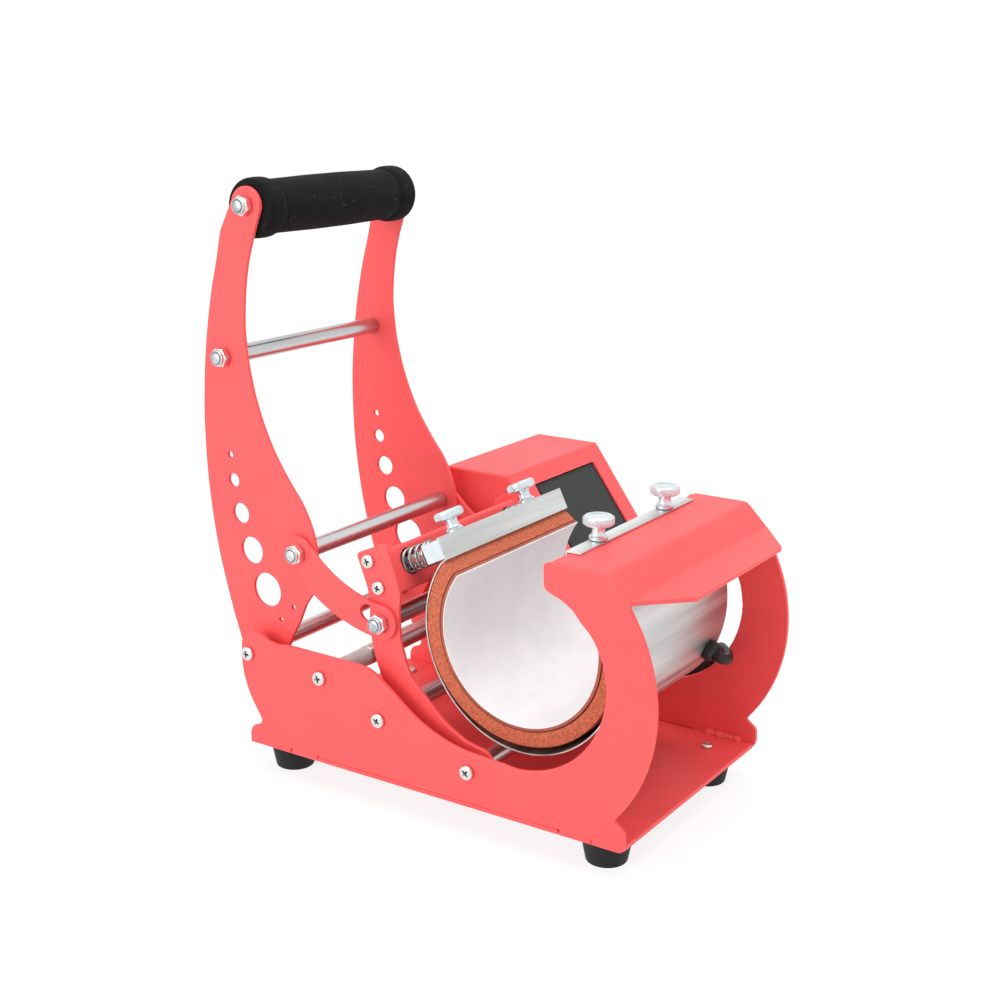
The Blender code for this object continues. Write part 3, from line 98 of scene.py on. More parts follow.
@dataclass(frozen=True)
class Layout:
    """Pivots, sheet sizes and widths that several sub-assemblies share."""

    sheet: float = 0.0025
    rim: float = 0.0004
    gap: float = 0.0003
    half_width: float = 0.0790
    base_rear: float = 0.0949
    base_front: float = -0.1527
    handle_pivot: Pair = (0.0940, 0.0551)
    stop_axis: Pair = (0.0412, 0.0515)
    spacer_axis: Pair = (0.0001, 0.0360)
    swing_pivot: Pair = (-0.0588, 0.0205)
    link_pin: Pair = (0.0613, 0.1189)
    swing_pin: Pair = (0.0037, 0.0894)
    spreader_axis: Pair = (0.1136, 0.2240)
    grip_axis: Pair = (0.0932, 0.3086)
    pivot_hole: float = 0.0053
    stud_hole: float = 0.0033
    arm_planes: Pair = (0.0660, 0.0685)
    link_planes: Pair = (0.0689, 0.0714)
    hood_top: float = 0.1462
    thumb_x: float = 0.0362
    thumb_y: float = -0.1111
    spring_x: float = 0.0500
    clamp_tilt: float = 0.4608
    bar_centre: Pair = (-0.0242, 0.1316)
    bar_depth: float = 0.0125
    crossbar_centre: Pair = (0.00685, 0.1140)
    crossbar_size: Pair = (0.0190, 0.0250)
    crossbar_wall: float = 0.0020
    wrap_centre: Pair = (-0.0793, 0.0935)
    wrap_sheet: float = 0.0008
    wrap_sag: float = 0.0034
    outline_span: float = 0.2500

    @property
    def forward(self) -> Vector:
        """Direction in which the clamp bar slides forward, in press coordinates."""
        return Vector((0, -math.cos(self.clamp_tilt), math.sin(self.clamp_tilt)))

    @property
    def upward(self) -> Vector:
        """Direction square to the slide, towards the bar's top face."""
        return Vector((0, math.sin(self.clamp_tilt), math.cos(self.clamp_tilt)))

    def clamp_axes(self) -> Matrix:
        """Return the clamp's forward, upward and sideways directions as columns."""
        return Matrix((self.forward, self.upward, ALONG_X)).transposed()

    def origin(self) -> Vector:
        """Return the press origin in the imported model's frame, read from the base plate."""
        low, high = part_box("base_plate")
        return Vector(((low.x + high.x) / 2, low.y - self.base_front, low.z))

    def outline(self, shares: Sequence[Sequence[float]]) -> list[tuple[float, ...]]:
        """Turn a table of shares of the outline span into lengths."""
        return [tuple(value * self.outline_span for value in row) for row in shares]

    def sagged(self, radius: float, angle: float) -> float:
        """Return a radius of the wrap's sheet with the sag of its underside at an angle."""
        return radius + self.wrap_sag * max(0.0, -math.sin(angle + math.pi / 12)) ** 2


LAYOUT = Layout()


# Shader boards and shared effects


class Board:
    """A node tree with short calls for adding and joining its nodes."""

    def __init__(self, tree: bpy.types.NodeTree) -> None:
        """Keep the tree that the calls work on."""
        self.tree = tree

    def add(self, kind: str, feeds: dict | None = None, **settings: object) -> Node:
        """Add a node.

        Args:
            kind: Blender's node type name.
            feeds: Values or sockets for the inputs, by name or number.
            **settings: Properties set on the node.

        Returns:
            The new node.
        """
        node = self.tree.nodes.new(kind)
        for key, value in settings.items():
            setattr(node, key, value)
        for key, value in (feeds or {}).items():
            self.feed(node.inputs[key], value)
        return node

    def feed(self, socket: Socket, value: object) -> None:
        """Join a socket to the input, or set the input's own value.

        Args:
            socket: The input.
            value: Another node's output, or a plain value.
        """
        if isinstance(value, Socket):
            self.tree.links.new(value, socket)
        else:
            socket.default_value = value

    def maths(self, operation: str, a: object, b: object = 0.0, clamp: bool = False) -> Socket:
        """Return the result of a Math node."""
        return self.add("ShaderNodeMath", {0: a, 1: b}, operation=operation, use_clamp=clamp).outputs[0]

    def times(self, a: object, b: object) -> Socket:
        """Return the product of two values."""
        return self.maths("MULTIPLY", a, b)

    def vectors(self, operation: str, a: object, b: object = (0, 0, 0)) -> Sockets:
        """Return the outputs of a Vector Math node."""
        return self.add("ShaderNodeVectorMath", {0: a, 1: b}, operation=operation).outputs

    def blend(self, factor: object, a: object, b: object) -> Socket:
        """Return a colour between a and b."""
        return self.add("ShaderNodeMix", {0: factor, 6: a, 7: b}, data_type="RGBA").outputs[2]

    def span(self, value: object, low: float, high: float, to_low: float = 0.0,
             to_high: float = 1.0) -> Socket:
        """Return the value mapped from one range to another and clamped there."""
        feeds = {"Value": value, "From Min": low, "From Max": high, "To Min": to_low, "To Max": to_high}
        return self.add("ShaderNodeMapRange", feeds).outputs["Result"]

    def noise(self, vector: object, scale: object, detail: float = 3.0, rough: float = 0.55) -> Socket:
        """Return the value of a noise texture."""
        feeds = {"Vector": vector, "Scale": scale, "Detail": detail, "Roughness": rough}
        return self.add("ShaderNodeTexNoise", feeds).outputs[0]

    def spot(self) -> Socket:
        """Return the Object coordinates, in metres."""
        return self.add("ShaderNodeTexCoord").outputs["Object"]

    def bump(self, height: object, strength: float, distance: float) -> Socket:
        """Return a normal raised by the height."""
        feeds = {"Height": height, "Strength": strength, "Distance": distance}
        return self.add("ShaderNodeBump", feeds).outputs["Normal"]


class Group:
    """A node group that is built once, with the sockets that its class names."""

    title: str = "group"
    kind: str = "ShaderNodeTree"
    inputs: tuple[tuple[str, str, object], ...] = ()
    outputs: tuple[tuple[str, str], ...] = ()

    def tree(self) -> bpy.types.NodeTree:
        """Return the group's node tree, building it on first use."""
        found = bpy.data.node_groups.get(self.title)
        if found:
            return found
        tree = bpy.data.node_groups.new(self.title, self.kind)
        for name, kind, value in self.inputs:
            socket = tree.interface.new_socket(name, in_out="INPUT", socket_type="NodeSocket" + kind)
            if value is not None:
                socket.default_value = value
        for name, kind in self.outputs:
            tree.interface.new_socket(name, in_out="OUTPUT", socket_type="NodeSocket" + kind)
        board = Board(tree)
        given = board.add("NodeGroupInput").outputs
        board.add("NodeGroupOutput", dict(enumerate(self.fill(board, given))))
        return tree

    def fill(self, board: Board, given: Sockets) -> tuple[Socket, ...]:
        """Build the group's nodes.

        Args:
            board: The group's board.
            given: The group's inputs by name.

        Returns:
            One socket for each of the outputs.
        """
        raise NotImplementedError


class Effect(Group):
    """A surface effect that is placed in many materials with their own values."""

    def place(self, board: Board, **feeds: object) -> Sockets:
        """Place the group in a material and return its outputs.

        Args:
            board: The material's board.
            **feeds: The material's own values for the inputs.

        Returns:
            The group's outputs by name.
        """
        node = board.add("ShaderNodeGroup", node_tree=self.tree())
        for name, value in feeds.items():
            board.feed(node.inputs[name.replace("_", " ")], value)
        return node.outputs


class CoatGrain(Effect):
    """Orange-peel relief, faint mottling and uneven gloss of a sprayed or moulded skin."""

    title = "coat_grain"
    inputs = (("Vector", "Vector", None), ("Grain Scale", "Float", 1500.0))
    outputs = (("Height", "Float"), ("Mottle", "Float"), ("Haze", "Float"))

    def fill(self, board: Board, given: Sockets) -> tuple[Socket, ...]:
        """Mix a fine and a middle noise for the relief and a broad one for the gloss."""
        spot = given["Vector"]
        fine = board.noise(spot, given["Grain Scale"], 2.0, 0.5)
        middle = board.noise(spot, 420.0, 2.0)
        return (board.maths("ADD", board.times(fine, 0.6), board.times(middle, 0.4)),
                board.span(board.noise(spot, 55.0, 4.0, 0.6), 0.35, 0.65),
                board.span(board.noise(spot, 14.0, 5.0, 0.6), 0.3, 0.7))


class RimMask(Effect):
    """Mask of the rims of a piece."""

    title = "edge_wear"
    inputs = (("Vector", "Vector", None), ("Width", "Float", 0.0006))
    outputs = (("Rim", "Float"), ("Chips", "Float"))

    def fill(self, board: Board, given: Sockets) -> tuple[Socket, ...]:
        """Compare the true normal with the rounded one, which differ only at a rim."""
        bevel = board.add("ShaderNodeBevel", {"Radius": given["Width"]}, samples=4)
        true = board.add("ShaderNodeNewGeometry").outputs["Normal"]
        rim = board.span(board.vectors("DOT_PRODUCT", bevel.outputs[0], true)["Value"], 0.99, 0.80)
        broken = board.span(board.noise(given["Vector"], 260.0, 5.0, 0.65), 0.56, 0.66)
        return rim, board.times(rim, broken)


class DrawnLines(Effect):
    """Fine parallel drawing or brushing marks along one axis."""

    title = "drawn_lines"
    inputs = (("Vector", "Vector", None), ("Along", "Float", 12.0), ("Across", "Float", 1800.0))
    outputs = (("Height", "Float"), ("Streak", "Float"))

    def fill(self, board: Board, given: Sockets) -> tuple[Socket, ...]:
        """Stretch two noises along X."""
        across = given["Across"]
        scale = board.add("ShaderNodeCombineXYZ", {0: given["Along"], 1: across, 2: across}).outputs[0]
        lines = board.vectors("MULTIPLY", given["Vector"], scale)[0]
        fine = board.noise(lines, 1.0, 2.0)
        broad = board.vectors("MULTIPLY", lines, (0.4, 0.09, 0.09))[0]
        return fine, board.span(board.noise(broad, 1.0), 0.35, 0.65)


class PorousCells(Effect):
    """Open cells and scattered specks of a foam or sponge."""

    title = "porous_cells"
    inputs = (("Vector", "Vector", None), ("Cell Scale", "Float", 1100.0), ("Speck Scale", "Float", 700.0),
              ("Speck Share", "Float", 0.3))
    outputs = (("Height", "Float"), ("Cell", "Float"), ("Speck", "Float"))

    def fill(self, board: Board, given: Sockets) -> tuple[Socket, ...]:
        """Take the relief from cell distances and the specks from random cell colours."""
        spot = given["Vector"]
        warp = board.add("ShaderNodeTexNoise", {"Vector": spot, "Scale": 900.0}).outputs["Color"]
        shift = board.vectors("MULTIPLY", warp, (0.0006, 0.0006, 0.0006))[0]
        bent = board.vectors("ADD", spot, shift)[0]
        cells, specks = (board.add("ShaderNodeTexVoronoi", {"Vector": bent, "Scale": given[name]}).outputs
                         for name in ("Cell Scale", "Speck Scale"))
        parts = board.add("ShaderNodeSeparateColor", {"Color": specks["Color"]})
        chosen = board.maths("LESS_THAN", parts.outputs[0], given["Speck Share"])
        near = board.span(specks["Distance"], 0.22, 0.36, 1.0, 0.0)
        return cells["Distance"], board.span(cells["Distance"], 0.15, 0.75), board.times(chosen, near)


# Finishes


@dataclass(frozen=True)
class Finish:
    """A material: colour, gloss and the record's slot that it belongs to."""

    name: str
    slot: str
    colour: Triple
    roughness: float
    metallic: float = 0.0

    def material(self) -> bpy.types.Material:
        """Return the material, building it on first use."""
        found = bpy.data.materials.get(self.name)
        if found:
            return found
        material = bpy.data.materials.new(self.name)
        material.use_nodes = True
        board = Board(material.node_tree)
        shader = material.node_tree.nodes["Principled BSDF"]
        plain = {"Base Color": (*self.colour, 1.0), "Roughness": self.roughness, "Metallic": self.metallic}
        for feeds in (plain, self.dress(board)):
            for name, value in feeds.items():
                board.feed(shader.inputs[name], value)
        return material

    def tone(self, share: float) -> tuple[float, float, float, float]:
        """Return the colour multiplied by a share."""
        return (*(min(1.0, value * share) for value in self.colour), 1.0)

    def tones(self, board: Board, factor: Socket, low: float, high: float) -> Socket:
        """Return a colour between two shares of the finish's own."""
        return board.blend(factor, self.tone(low), self.tone(high))

    def gloss(self, board: Board, factor: Socket, less: float, more: float) -> Socket:
        """Return a roughness between the finish's own less one amount and plus another."""
        return board.span(factor, 0.0, 1.0, self.roughness - less, self.roughness + more)

    def dress(self, board: Board) -> dict[str, object]:
        """Build the surface's detail on the board and return what feeds the shader's inputs, by name."""
        raise NotImplementedError


class PowderCoat(Finish):
    """Matt powder coat over sheet steel."""

    def dress(self, board: Board) -> dict[str, object]:
        """Give the coat its orange peel, faint mottling and a painted highlight along its rims."""
        spot = board.spot()
        grain = CoatGrain().place(board, Vector=spot, Grain_Scale=1700.0)
        rim_masks = RimMask().place(board, Vector=spot, Width=0.0007)
        body = self.tones(board, grain["Mottle"], 0.965, 1.03)
        # The rims are blended towards a paler tone: a painted highlight along the edges.
        rim_highlight = tuple(value + (1.0 - value) * 0.16 for value in self.colour)
        return {"Base Color": board.blend(board.times(rim_masks["Rim"], 0.55), body, (*rim_highlight, 1.0)),
                "Roughness": self.gloss(board, grain["Haze"], 0.04, 0.06),
                "Normal": board.bump(grain["Height"], 0.35, 0.00012), "Specular IOR Level": 0.35}


class DrawnSteel(Finish):
    """Bright steel with drawing marks along its length."""

    def dress(self, board: Board) -> dict[str, object]:
        """Streak the gloss and colour along X."""
        lines = DrawnLines().place(board, Vector=board.spot(), Along=14.0, Across=1500.0)
        return {"Base Color": self.tones(board, lines["Streak"], 0.78, 1.12),
                "Roughness": self.gloss(board, lines["Streak"], 0.0, 0.12),
                "Normal": board.bump(lines["Height"], 0.05, 0.00002)}


class PlatedSteel(Finish):
    """Zinc or nickel plate with a soft, slightly uneven gloss."""

    def dress(self, board: Board) -> dict[str, object]:
        """Vary the gloss and tone of the plate."""
        grain = CoatGrain().place(board, Vector=board.spot(), Grain_Scale=2600.0)
        return {"Base Color": self.tones(board, grain["Mottle"], 0.96, 1.03),
                "Roughness": self.gloss(board, grain["Mottle"], 0.05, 0.07),
                "Normal": board.bump(grain["Height"], 0.05, 0.00002)}


class SpongeSilicone(Finish):
    """Red-brown porous silicone with dark specks."""

    def dress(self, board: Board) -> dict[str, object]:
        """Lay specks and open cells over a mottled body, with painted shade in the cells' pits."""
        spot = board.spot()
        cells = PorousCells().place(board, Vector=spot, Cell_Scale=1300.0, Speck_Scale=1150.0,
                                    Speck_Share=0.55)
        mottle = board.span(board.noise(spot, 620.0, 5.0, 0.75), 0.40, 0.60)
        body = self.tones(board, mottle, 0.70, 1.18)
        # The cell walls are lightened and the pits of the relief left darker: painted shade in the pores.
        pit_shaded = board.blend(board.times(cells["Cell"], 0.25), body, self.tone(1.3))
        return {"Base Color": board.blend(board.times(cells["Speck"], 0.85), pit_shaded, self.tone(0.30)),
                "Normal": board.bump(board.maths("SUBTRACT", cells["Height"], cells["Speck"]), 0.55, 0.00035)}


class LinerCloth(Finish):
    """Off-white coated glass cloth of the heating mat."""

    def dress(self, board: Board) -> dict[str, object]:
        """Give the cloth a fine weave under its coating."""
        spot = board.spot()
        feeds = {"Vector": spot, "Scale": 420.0, "Distortion": 0.6}
        weave = board.add("ShaderNodeTexWave", feeds, bands_direction="X").outputs[1]
        grain = CoatGrain().place(board, Vector=spot, Grain_Scale=1200.0)
        tone = self.tones(board, grain["Mottle"], 0.97, 1.03)
        relief = board.maths("ADD", board.times(weave, 0.35), grain["Height"])
        return {"Base Color": tone, "Normal": board.bump(relief, 0.15, 0.0001)}


class GripFoam(Finish):
    """Black closed-cell foam with fine cells and pale lint."""

    lint = (0.22, 0.22, 0.23, 1.0)

    def dress(self, board: Board) -> dict[str, object]:
        """Dimple the foam and scatter lint over it."""
        spot = board.spot()
        cells = PorousCells().place(board, Vector=spot, Cell_Scale=1500.0, Speck_Scale=420.0,
                                    Speck_Share=0.06)
        web = board.add("ShaderNodeTexVoronoi", {"Vector": spot, "Scale": 190.0}, feature="DISTANCE_TO_EDGE")
        thread = board.span(web.outputs["Distance"], 0.0, 0.030, 1.0, 0.0)
        patch = board.span(board.noise(spot, 110.0, 5.0), 0.60, 0.66)
        rim_highlight = board.maths("ADD", board.times(cells["Speck"], 0.5),
                           board.times(board.times(thread, patch), 0.9), True)
        worn = board.span(board.noise(spot, 34.0, 5.0, 0.65), 0.45, 0.70)
        body = self.tones(board, worn, 0.85, 1.8)
        return {"Base Color": board.blend(board.times(rim_highlight, 0.22), body, self.lint),
                "Normal": board.bump(cells["Height"], 0.5, 0.00025), "Specular IOR Level": 0.25}


class MouldedSkin(Finish):
    """Fine-textured moulded rubber or plastic."""

    def dress(self, board: Board) -> dict[str, object]:
        """Give the skin its spark-eroded grain and dusty haze."""
        grain = CoatGrain().place(board, Vector=board.spot(), Grain_Scale=2200.0)
        return {"Base Color": self.tones(board, grain["Mottle"], 0.85, 1.25),
                "Roughness": self.gloss(board, grain["Haze"], 0.06, 0.08),
                "Normal": board.bump(grain["Height"], 0.25, 0.00008), "Specular IOR Level": 0.35}


class MilkySleeve(MouldedSkin):
    """Translucent silicone tube."""

    def dress(self, board: Board) -> dict[str, object]:
        """Let some light through the skin."""
        return super().dress(board) | {"Transmission Weight": 0.25, "IOR": 1.42}


class Palette:
    """Every finish of the press."""

    red = PowderCoat("coral_powder_coat", "red_paint", (0.87, 0.083, 0.085), 0.46)
    bright = DrawnSteel("drawn_bright_steel", "bright_steel", (0.62, 0.64, 0.65), 0.23, 1.0)
    fastener = PlatedSteel("nickel_fastener_steel", "bright_steel", (0.72, 0.73, 0.71), 0.26, 1.0)
    zinc = PlatedSteel("bright_zinc_plate", "zinc_steel", (0.68, 0.745, 0.785), 0.22, 0.75)
    band = DrawnSteel("brushed_wrap_sheet", "wrap_steel", (0.66, 0.68, 0.67), 0.34, 1.0)
    spring = PlatedSteel("spring_wire_steel", "spring_steel", (0.36, 0.36, 0.35), 0.22, 1.0)
    sponge = SpongeSilicone("porous_sponge_silicone", "sponge_silicone", (0.49, 0.115, 0.055), 0.9)
    liner = LinerCloth("coated_mat_cloth", "liner_white", (0.72, 0.70, 0.71), 0.6)
    mat = MouldedSkin("mat_edge_brown", "sponge_silicone", (0.33, 0.085, 0.055), 0.8)
    sleeve = MilkySleeve("milky_stop_sleeve", "clear_sleeve", (0.66, 0.66, 0.65), 0.38)
    foam = GripFoam("black_grip_foam", "black_foam", (0.0045, 0.0048, 0.0052), 0.98)
    rubber = MouldedSkin("black_foot_rubber", "black_rubber", (0.0045, 0.0048, 0.0050), 0.6)
    plastic = MouldedSkin("black_fitting_plastic", "black_plastic", (0.014, 0.015, 0.016), 0.42)
    panel = MouldedSkin("grey_black_panel_film", "black_plastic", (0.013, 0.0145, 0.0145), 0.42)
    rim = MouldedSkin("dark_panel_border", "black_plastic", (0.004, 0.0045, 0.0045), 0.38)
    gloss = MouldedSkin("glossy_rocker_plastic", "gloss_plastic", (0.012, 0.012, 0.012), 0.16)
    nylon = MouldedSkin("nut_nylon_ring", "clear_sleeve", (0.20, 0.27, 0.36), 0.4)
    recess = MouldedSkin("screw_recess_shade", "bright_steel", (0.030, 0.028, 0.022), 0.6)


# Making objects


def put(name: str, data: bpy.types.ID) -> Object:
    """Return a new object in the scene for the data."""
    obj = bpy.data.objects.new(name, data)
    bpy.context.scene.collection.objects.link(obj)
    return obj


def baked(obj: Object) -> bpy.types.Mesh:
    """Return the object's evaluated mesh and take its modifiers off."""
    bpy.context.view_layer.update()
    mesh = bpy.data.meshes.new_from_object(obj.evaluated_get(bpy.context.evaluated_depsgraph_get()))
    obj.modifiers.clear()
    return mesh


def soften(obj: Object) -> None:
    """Shade an object smooth, with its sharp turns kept and its large faces flat."""
    obj.data.shade_smooth()
    obj.data.set_sharp_from_angle(angle=SHARP_TURN)
    obj.modifiers.new("face_weighted", "WEIGHTED_NORMAL").keep_sharp = True


# Geometry node tools


class GeoTool(Group):
    """A geometry node group that is baked into pieces."""

    kind = "GeometryNodeTree"
    outputs = (("Geometry", "Geometry"),)

    def finished(self, board: Board, made: Socket, given: Sockets) -> tuple[Socket]:
        """Realize what a tool has made and give it the material."""
        real = board.add("GeometryNodeRealizeInstances", {0: made}).outputs[0]
        feeds = {"Geometry": real, "Material": given["Material"]}
        return (board.add("GeometryNodeSetMaterial", feeds).outputs[0],)

    def bake(self, obj: Object, **values: object) -> None:
        """Run the tool on an object and keep the result as its mesh.

        Args:
            obj: The object to change.
            **values: Values for the tool's inputs, by name.
        """
        tree = self.tree()
        modifier = obj.modifiers.new(self.title, "NODES")
        modifier.node_group = tree
        for item in tree.interface.items_tree:
            key = item.name.replace(" ", "_")
            if item.in_out == "INPUT" and key in values:
                modifier[item.identifier] = values[key]
        obj.data = baked(obj)


class PlaceParts(GeoTool):
    """Places a template on every point, turned to the point's facing and spin."""

    title = "place_parts"
    inputs = (("Geometry", "Geometry", None), ("Template", "Object", None), ("Material", "Material", None))

    def fill(self, board: Board, given: Sockets) -> tuple[Socket, ...]:
        """Instance the template with its Z axis along the facing."""
        facing, spin, size = (
            board.add("GeometryNodeInputNamedAttribute", {"Name": name}, data_type=kind).outputs[0]
            for name, kind in (("facing", "FLOAT_VECTOR"), ("spin", "FLOAT"), ("size", "FLOAT")))
        turned = board.add("FunctionNodeAlignRotationToVector", {"Vector": facing}, axis="Z")
        own = board.add("FunctionNodeAxisAngleToRotation", {"Axis": (0, 0, 1), "Angle": spin})
        both = board.add("FunctionNodeRotateRotation", {0: turned.outputs[0], 1: own.outputs[0]},
                         rotation_space="LOCAL")
        template = board.add("GeometryNodeObjectInfo", {"Object": given["Template"]})
        placed = board.add("GeometryNodeInstanceOnPoints", {
            "Points": given["Geometry"], "Instance": template.outputs["Geometry"],
            "Rotation": both.outputs[0], "Scale": size})
        return self.finished(board, placed.outputs[0], given)


class Knurl(GeoTool):
    """Sets a ring of small teeth round a turned head."""

    title = "knurl_teeth"
    inputs = (("Geometry", "Geometry", None), ("Teeth", "Int", 40), ("Radius", "Float", 0.008),
              ("Tooth Radius", "Float", 0.0004), ("Tooth Height", "Float", 0.003), ("Centre", "Vector", None),
              ("Facing", "Vector", None), ("Material", "Material", None))

    def fill(self, board: Board, given: Sockets) -> tuple[Socket, ...]:
        """Put six-sided teeth on a circle of points, turn the ring and join it to the head."""
        ring = board.add("GeometryNodeMeshCircle", {"Vertices": given["Teeth"], "Radius": given["Radius"]})
        tooth = board.add("GeometryNodeMeshCylinder", {
            "Vertices": 6, "Side Segments": 1, "Fill Segments": 1, "Radius": given["Tooth Radius"],
            "Depth": given["Tooth Height"]})
        teeth = board.add("GeometryNodeInstanceOnPoints", {
            "Points": ring.outputs[0], "Instance": tooth.outputs[0]})
        turn = board.add("FunctionNodeAlignRotationToVector", {"Vector": given["Facing"]}, axis="Z")
        moved = board.add("GeometryNodeTransform", {
            "Geometry": teeth.outputs[0], "Translation": given["Centre"], "Rotation": turn.outputs[0]})
        joined = board.add("GeometryNodeJoinGeometry")
        board.feed(joined.inputs[0], moved.outputs[0])
        board.feed(joined.inputs[0], given["Geometry"])
        return self.finished(board, joined.outputs[0], given)


class WireAlong(GeoTool):
    """Draws a round wire along a line of edges."""

    title = "wire_along"
    inputs = (("Geometry", "Geometry", None), ("Radius", "Float", 0.001), ("Sides", "Int", 12),
              ("Material", "Material", None))

    def fill(self, board: Board, given: Sockets) -> tuple[Socket, ...]:
        """Turn the edges to a curve and sweep a circle with closed ends along it."""
        curve = board.add("GeometryNodeMeshToCurve", {"Mesh": given["Geometry"]})
        section = board.add("GeometryNodeCurvePrimitiveCircle", {
            "Resolution": given["Sides"], "Radius": given["Radius"]})
        swept = board.add("GeometryNodeCurveToMesh", {
            "Curve": curve.outputs[0], "Profile Curve": section.outputs[0], "Fill Caps": True})
        smooth = board.add("GeometryNodeSetShadeSmooth", {"Geometry": swept.outputs[0]})
        return self.finished(board, smooth.outputs[0], given)


# Outline helpers


def smooth_line(points: Sequence[Sequence[float]], steps: int) -> list[tuple[float, ...]]:
    """Return a soft curve through the points.

    Args:
        points: The points, both ends included.
        steps: Number of pieces between two points.

    Returns:
        The curve's points.
    """
    count = len(points)
    line = []
    for i in range(count - 1):
        near = (max(i - 1, 0), i, i + 1, min(i + 2, count - 1))
        before, start, end, after = (Vector(points[j]) for j in near)
        for step in range(steps):
            t = step / steps
            bend = (end - before) * t + (2 * before - 5 * start + 4 * end - after) * t ** 2
            line.append(tuple(start + (bend + (3 * start - before - 3 * end + after) * t ** 3) / 2))
    line.append(tuple(points[-1]))
    return line


def arc(centre: Pair, radius: float, start: float, end: float, steps: int) -> Ring:
    """Return points on an arc, both ends included."""
    angles = [start + (end - start) * i / steps for i in range(steps + 1)]
    return [(centre[0] + radius * math.cos(a), centre[1] + radius * math.sin(a)) for a in angles]


def circle(centre: Pair, radius: float, steps: int = 40) -> Ring:
    """Return a closed ring of points."""
    return arc(centre, radius, 0, math.tau, steps)[:-1]


def angle_at(centre: Pair, point: Pair) -> float:
    """Return the angle of a point seen from a centre."""
    return math.atan2(point[1] - centre[1], point[0] - centre[0])


def signed_area(ring: Ring) -> float:
    """Return a ring's area, positive when it runs anticlockwise."""
    return sum(u * ring[(i + 1) % len(ring)][1] - v * ring[(i + 1) % len(ring)][0]
               for i, (u, v) in enumerate(ring)) / 2


def shifted(point: Pair, before: Vector, after: Vector, distance: float) -> Pair:
    """Return a corner moved to its left, mitred.

    Args:
        point: The corner.
        before: Unit direction of the side that comes in.
        after: Unit direction of the side that goes out.
        distance: How far the sides move.

    Returns:
        The moved corner.
    """
    left = Vector((-before.y - after.y, before.x + after.x))
    return tuple(Vector(point) + left * distance / max(MITRE_LIMIT, 1 + before.dot(after)))


def inset_ring(ring: Ring, distance: float) -> Ring:
    """Move a ring to its left by a distance, mitred at its corners."""
    ways = [(Vector(ring[(i + 1) % len(ring)]) - Vector(point)).normalized() for i, point in enumerate(ring)]
    return [shifted(point, ways[i - 1], ways[i], distance) for i, point in enumerate(ring)]


def offset_line(points: Sequence[Pair], distance: float) -> Ring:
    """Move an open line to its right by a distance, mitred at its corners."""
    ways = [(Vector(b) - Vector(a)).normalized() for a, b in zip(points, points[1:])]
    return [shifted(point, before, after, -distance)
            for point, before, after in zip(points, ways[:1] + ways, ways + ways[-1:])]


def rectangle(low: Pair, high: Pair) -> Ring:
    """Return the ring between two opposite corners."""
    return [low, (high[0], low[1]), high, (low[0], high[1])]


def centred(u: float, v: float, half_u: float, half_v: float) -> Ring:
    """Return a rectangle round a centre."""
    return rectangle((u - half_u, v - half_v), (u + half_u, v + half_v))


def mirrored(right: Sequence[Pair]) -> Ring:
    """Return the (radius, height) profile of a rod from that of its right half."""
    return [(r, -h) for r, h in right] + [(r, h) for r, h in reversed(right)]


def fillet(points: Sequence[Pair], radius: float, closed: bool = True, steps: int = 5,
           least_turn: float = 0.35) -> Ring:
    """Round the corners of a line.

    Args:
        points: The line's corners.
        radius: Radius of each rounding, less where a side is short.
        closed: Whether the last point joins the first.
        steps: Number of pieces in each rounding.
        least_turn: Corners that turn less than this angle stay as they are.

    Returns:
        The rounded line.
    """
    rounded: Ring = []
    count = len(points)
    for i, point in enumerate(points):
        here = Vector(point)
        back = Vector(points[i - 1]) - here
        ahead = Vector(points[(i + 1) % count]) - here
        is_end = not closed and i in (0, count - 1)
        turn = 0.0 if is_end else math.pi - back.angle(ahead)
        if turn < least_turn:
            rounded.append(tuple(point))
            continue
        reach = min(radius * math.tan(turn / 2), back.length * 0.48, ahead.length * 0.48)
        start = here + back.normalized() * reach
        end = here + ahead.normalized() * reach
        for step in range(steps + 1):
            t = step / steps
            rounded.append(tuple(start * (1 - t) ** 2 + here * 2 * t * (1 - t) + end * t ** 2))
    return rounded


# Solid helpers


class Shape:
    """Vertices and faces in press coordinates, before they become a piece."""

    def __init__(self) -> None:
        """Start with nothing."""
        self.verts: list[Vector] = []
        self.faces: list[tuple[int, ...]] = []

    def add(self, verts: Iterable[Sequence[float]], faces: Iterable[Sequence[int]]) -> "Shape":
        """Add a closed solid and return the shape."""
        start = len(self.verts)
        self.verts += [Vector(v) for v in verts]
        self.faces += [tuple(i + start for i in face) for face in faces]
        return self

    def join(self, other: "Shape") -> "Shape":
        """Add another shape and return this one."""
        return self.add(other.verts, other.faces)

    def warp(self, change: Callable[[Vector], Vector]) -> "Shape":
        """Move every vertex by a rule and return the shape."""
        self.verts = [change(v) for v in self.verts]
        return self


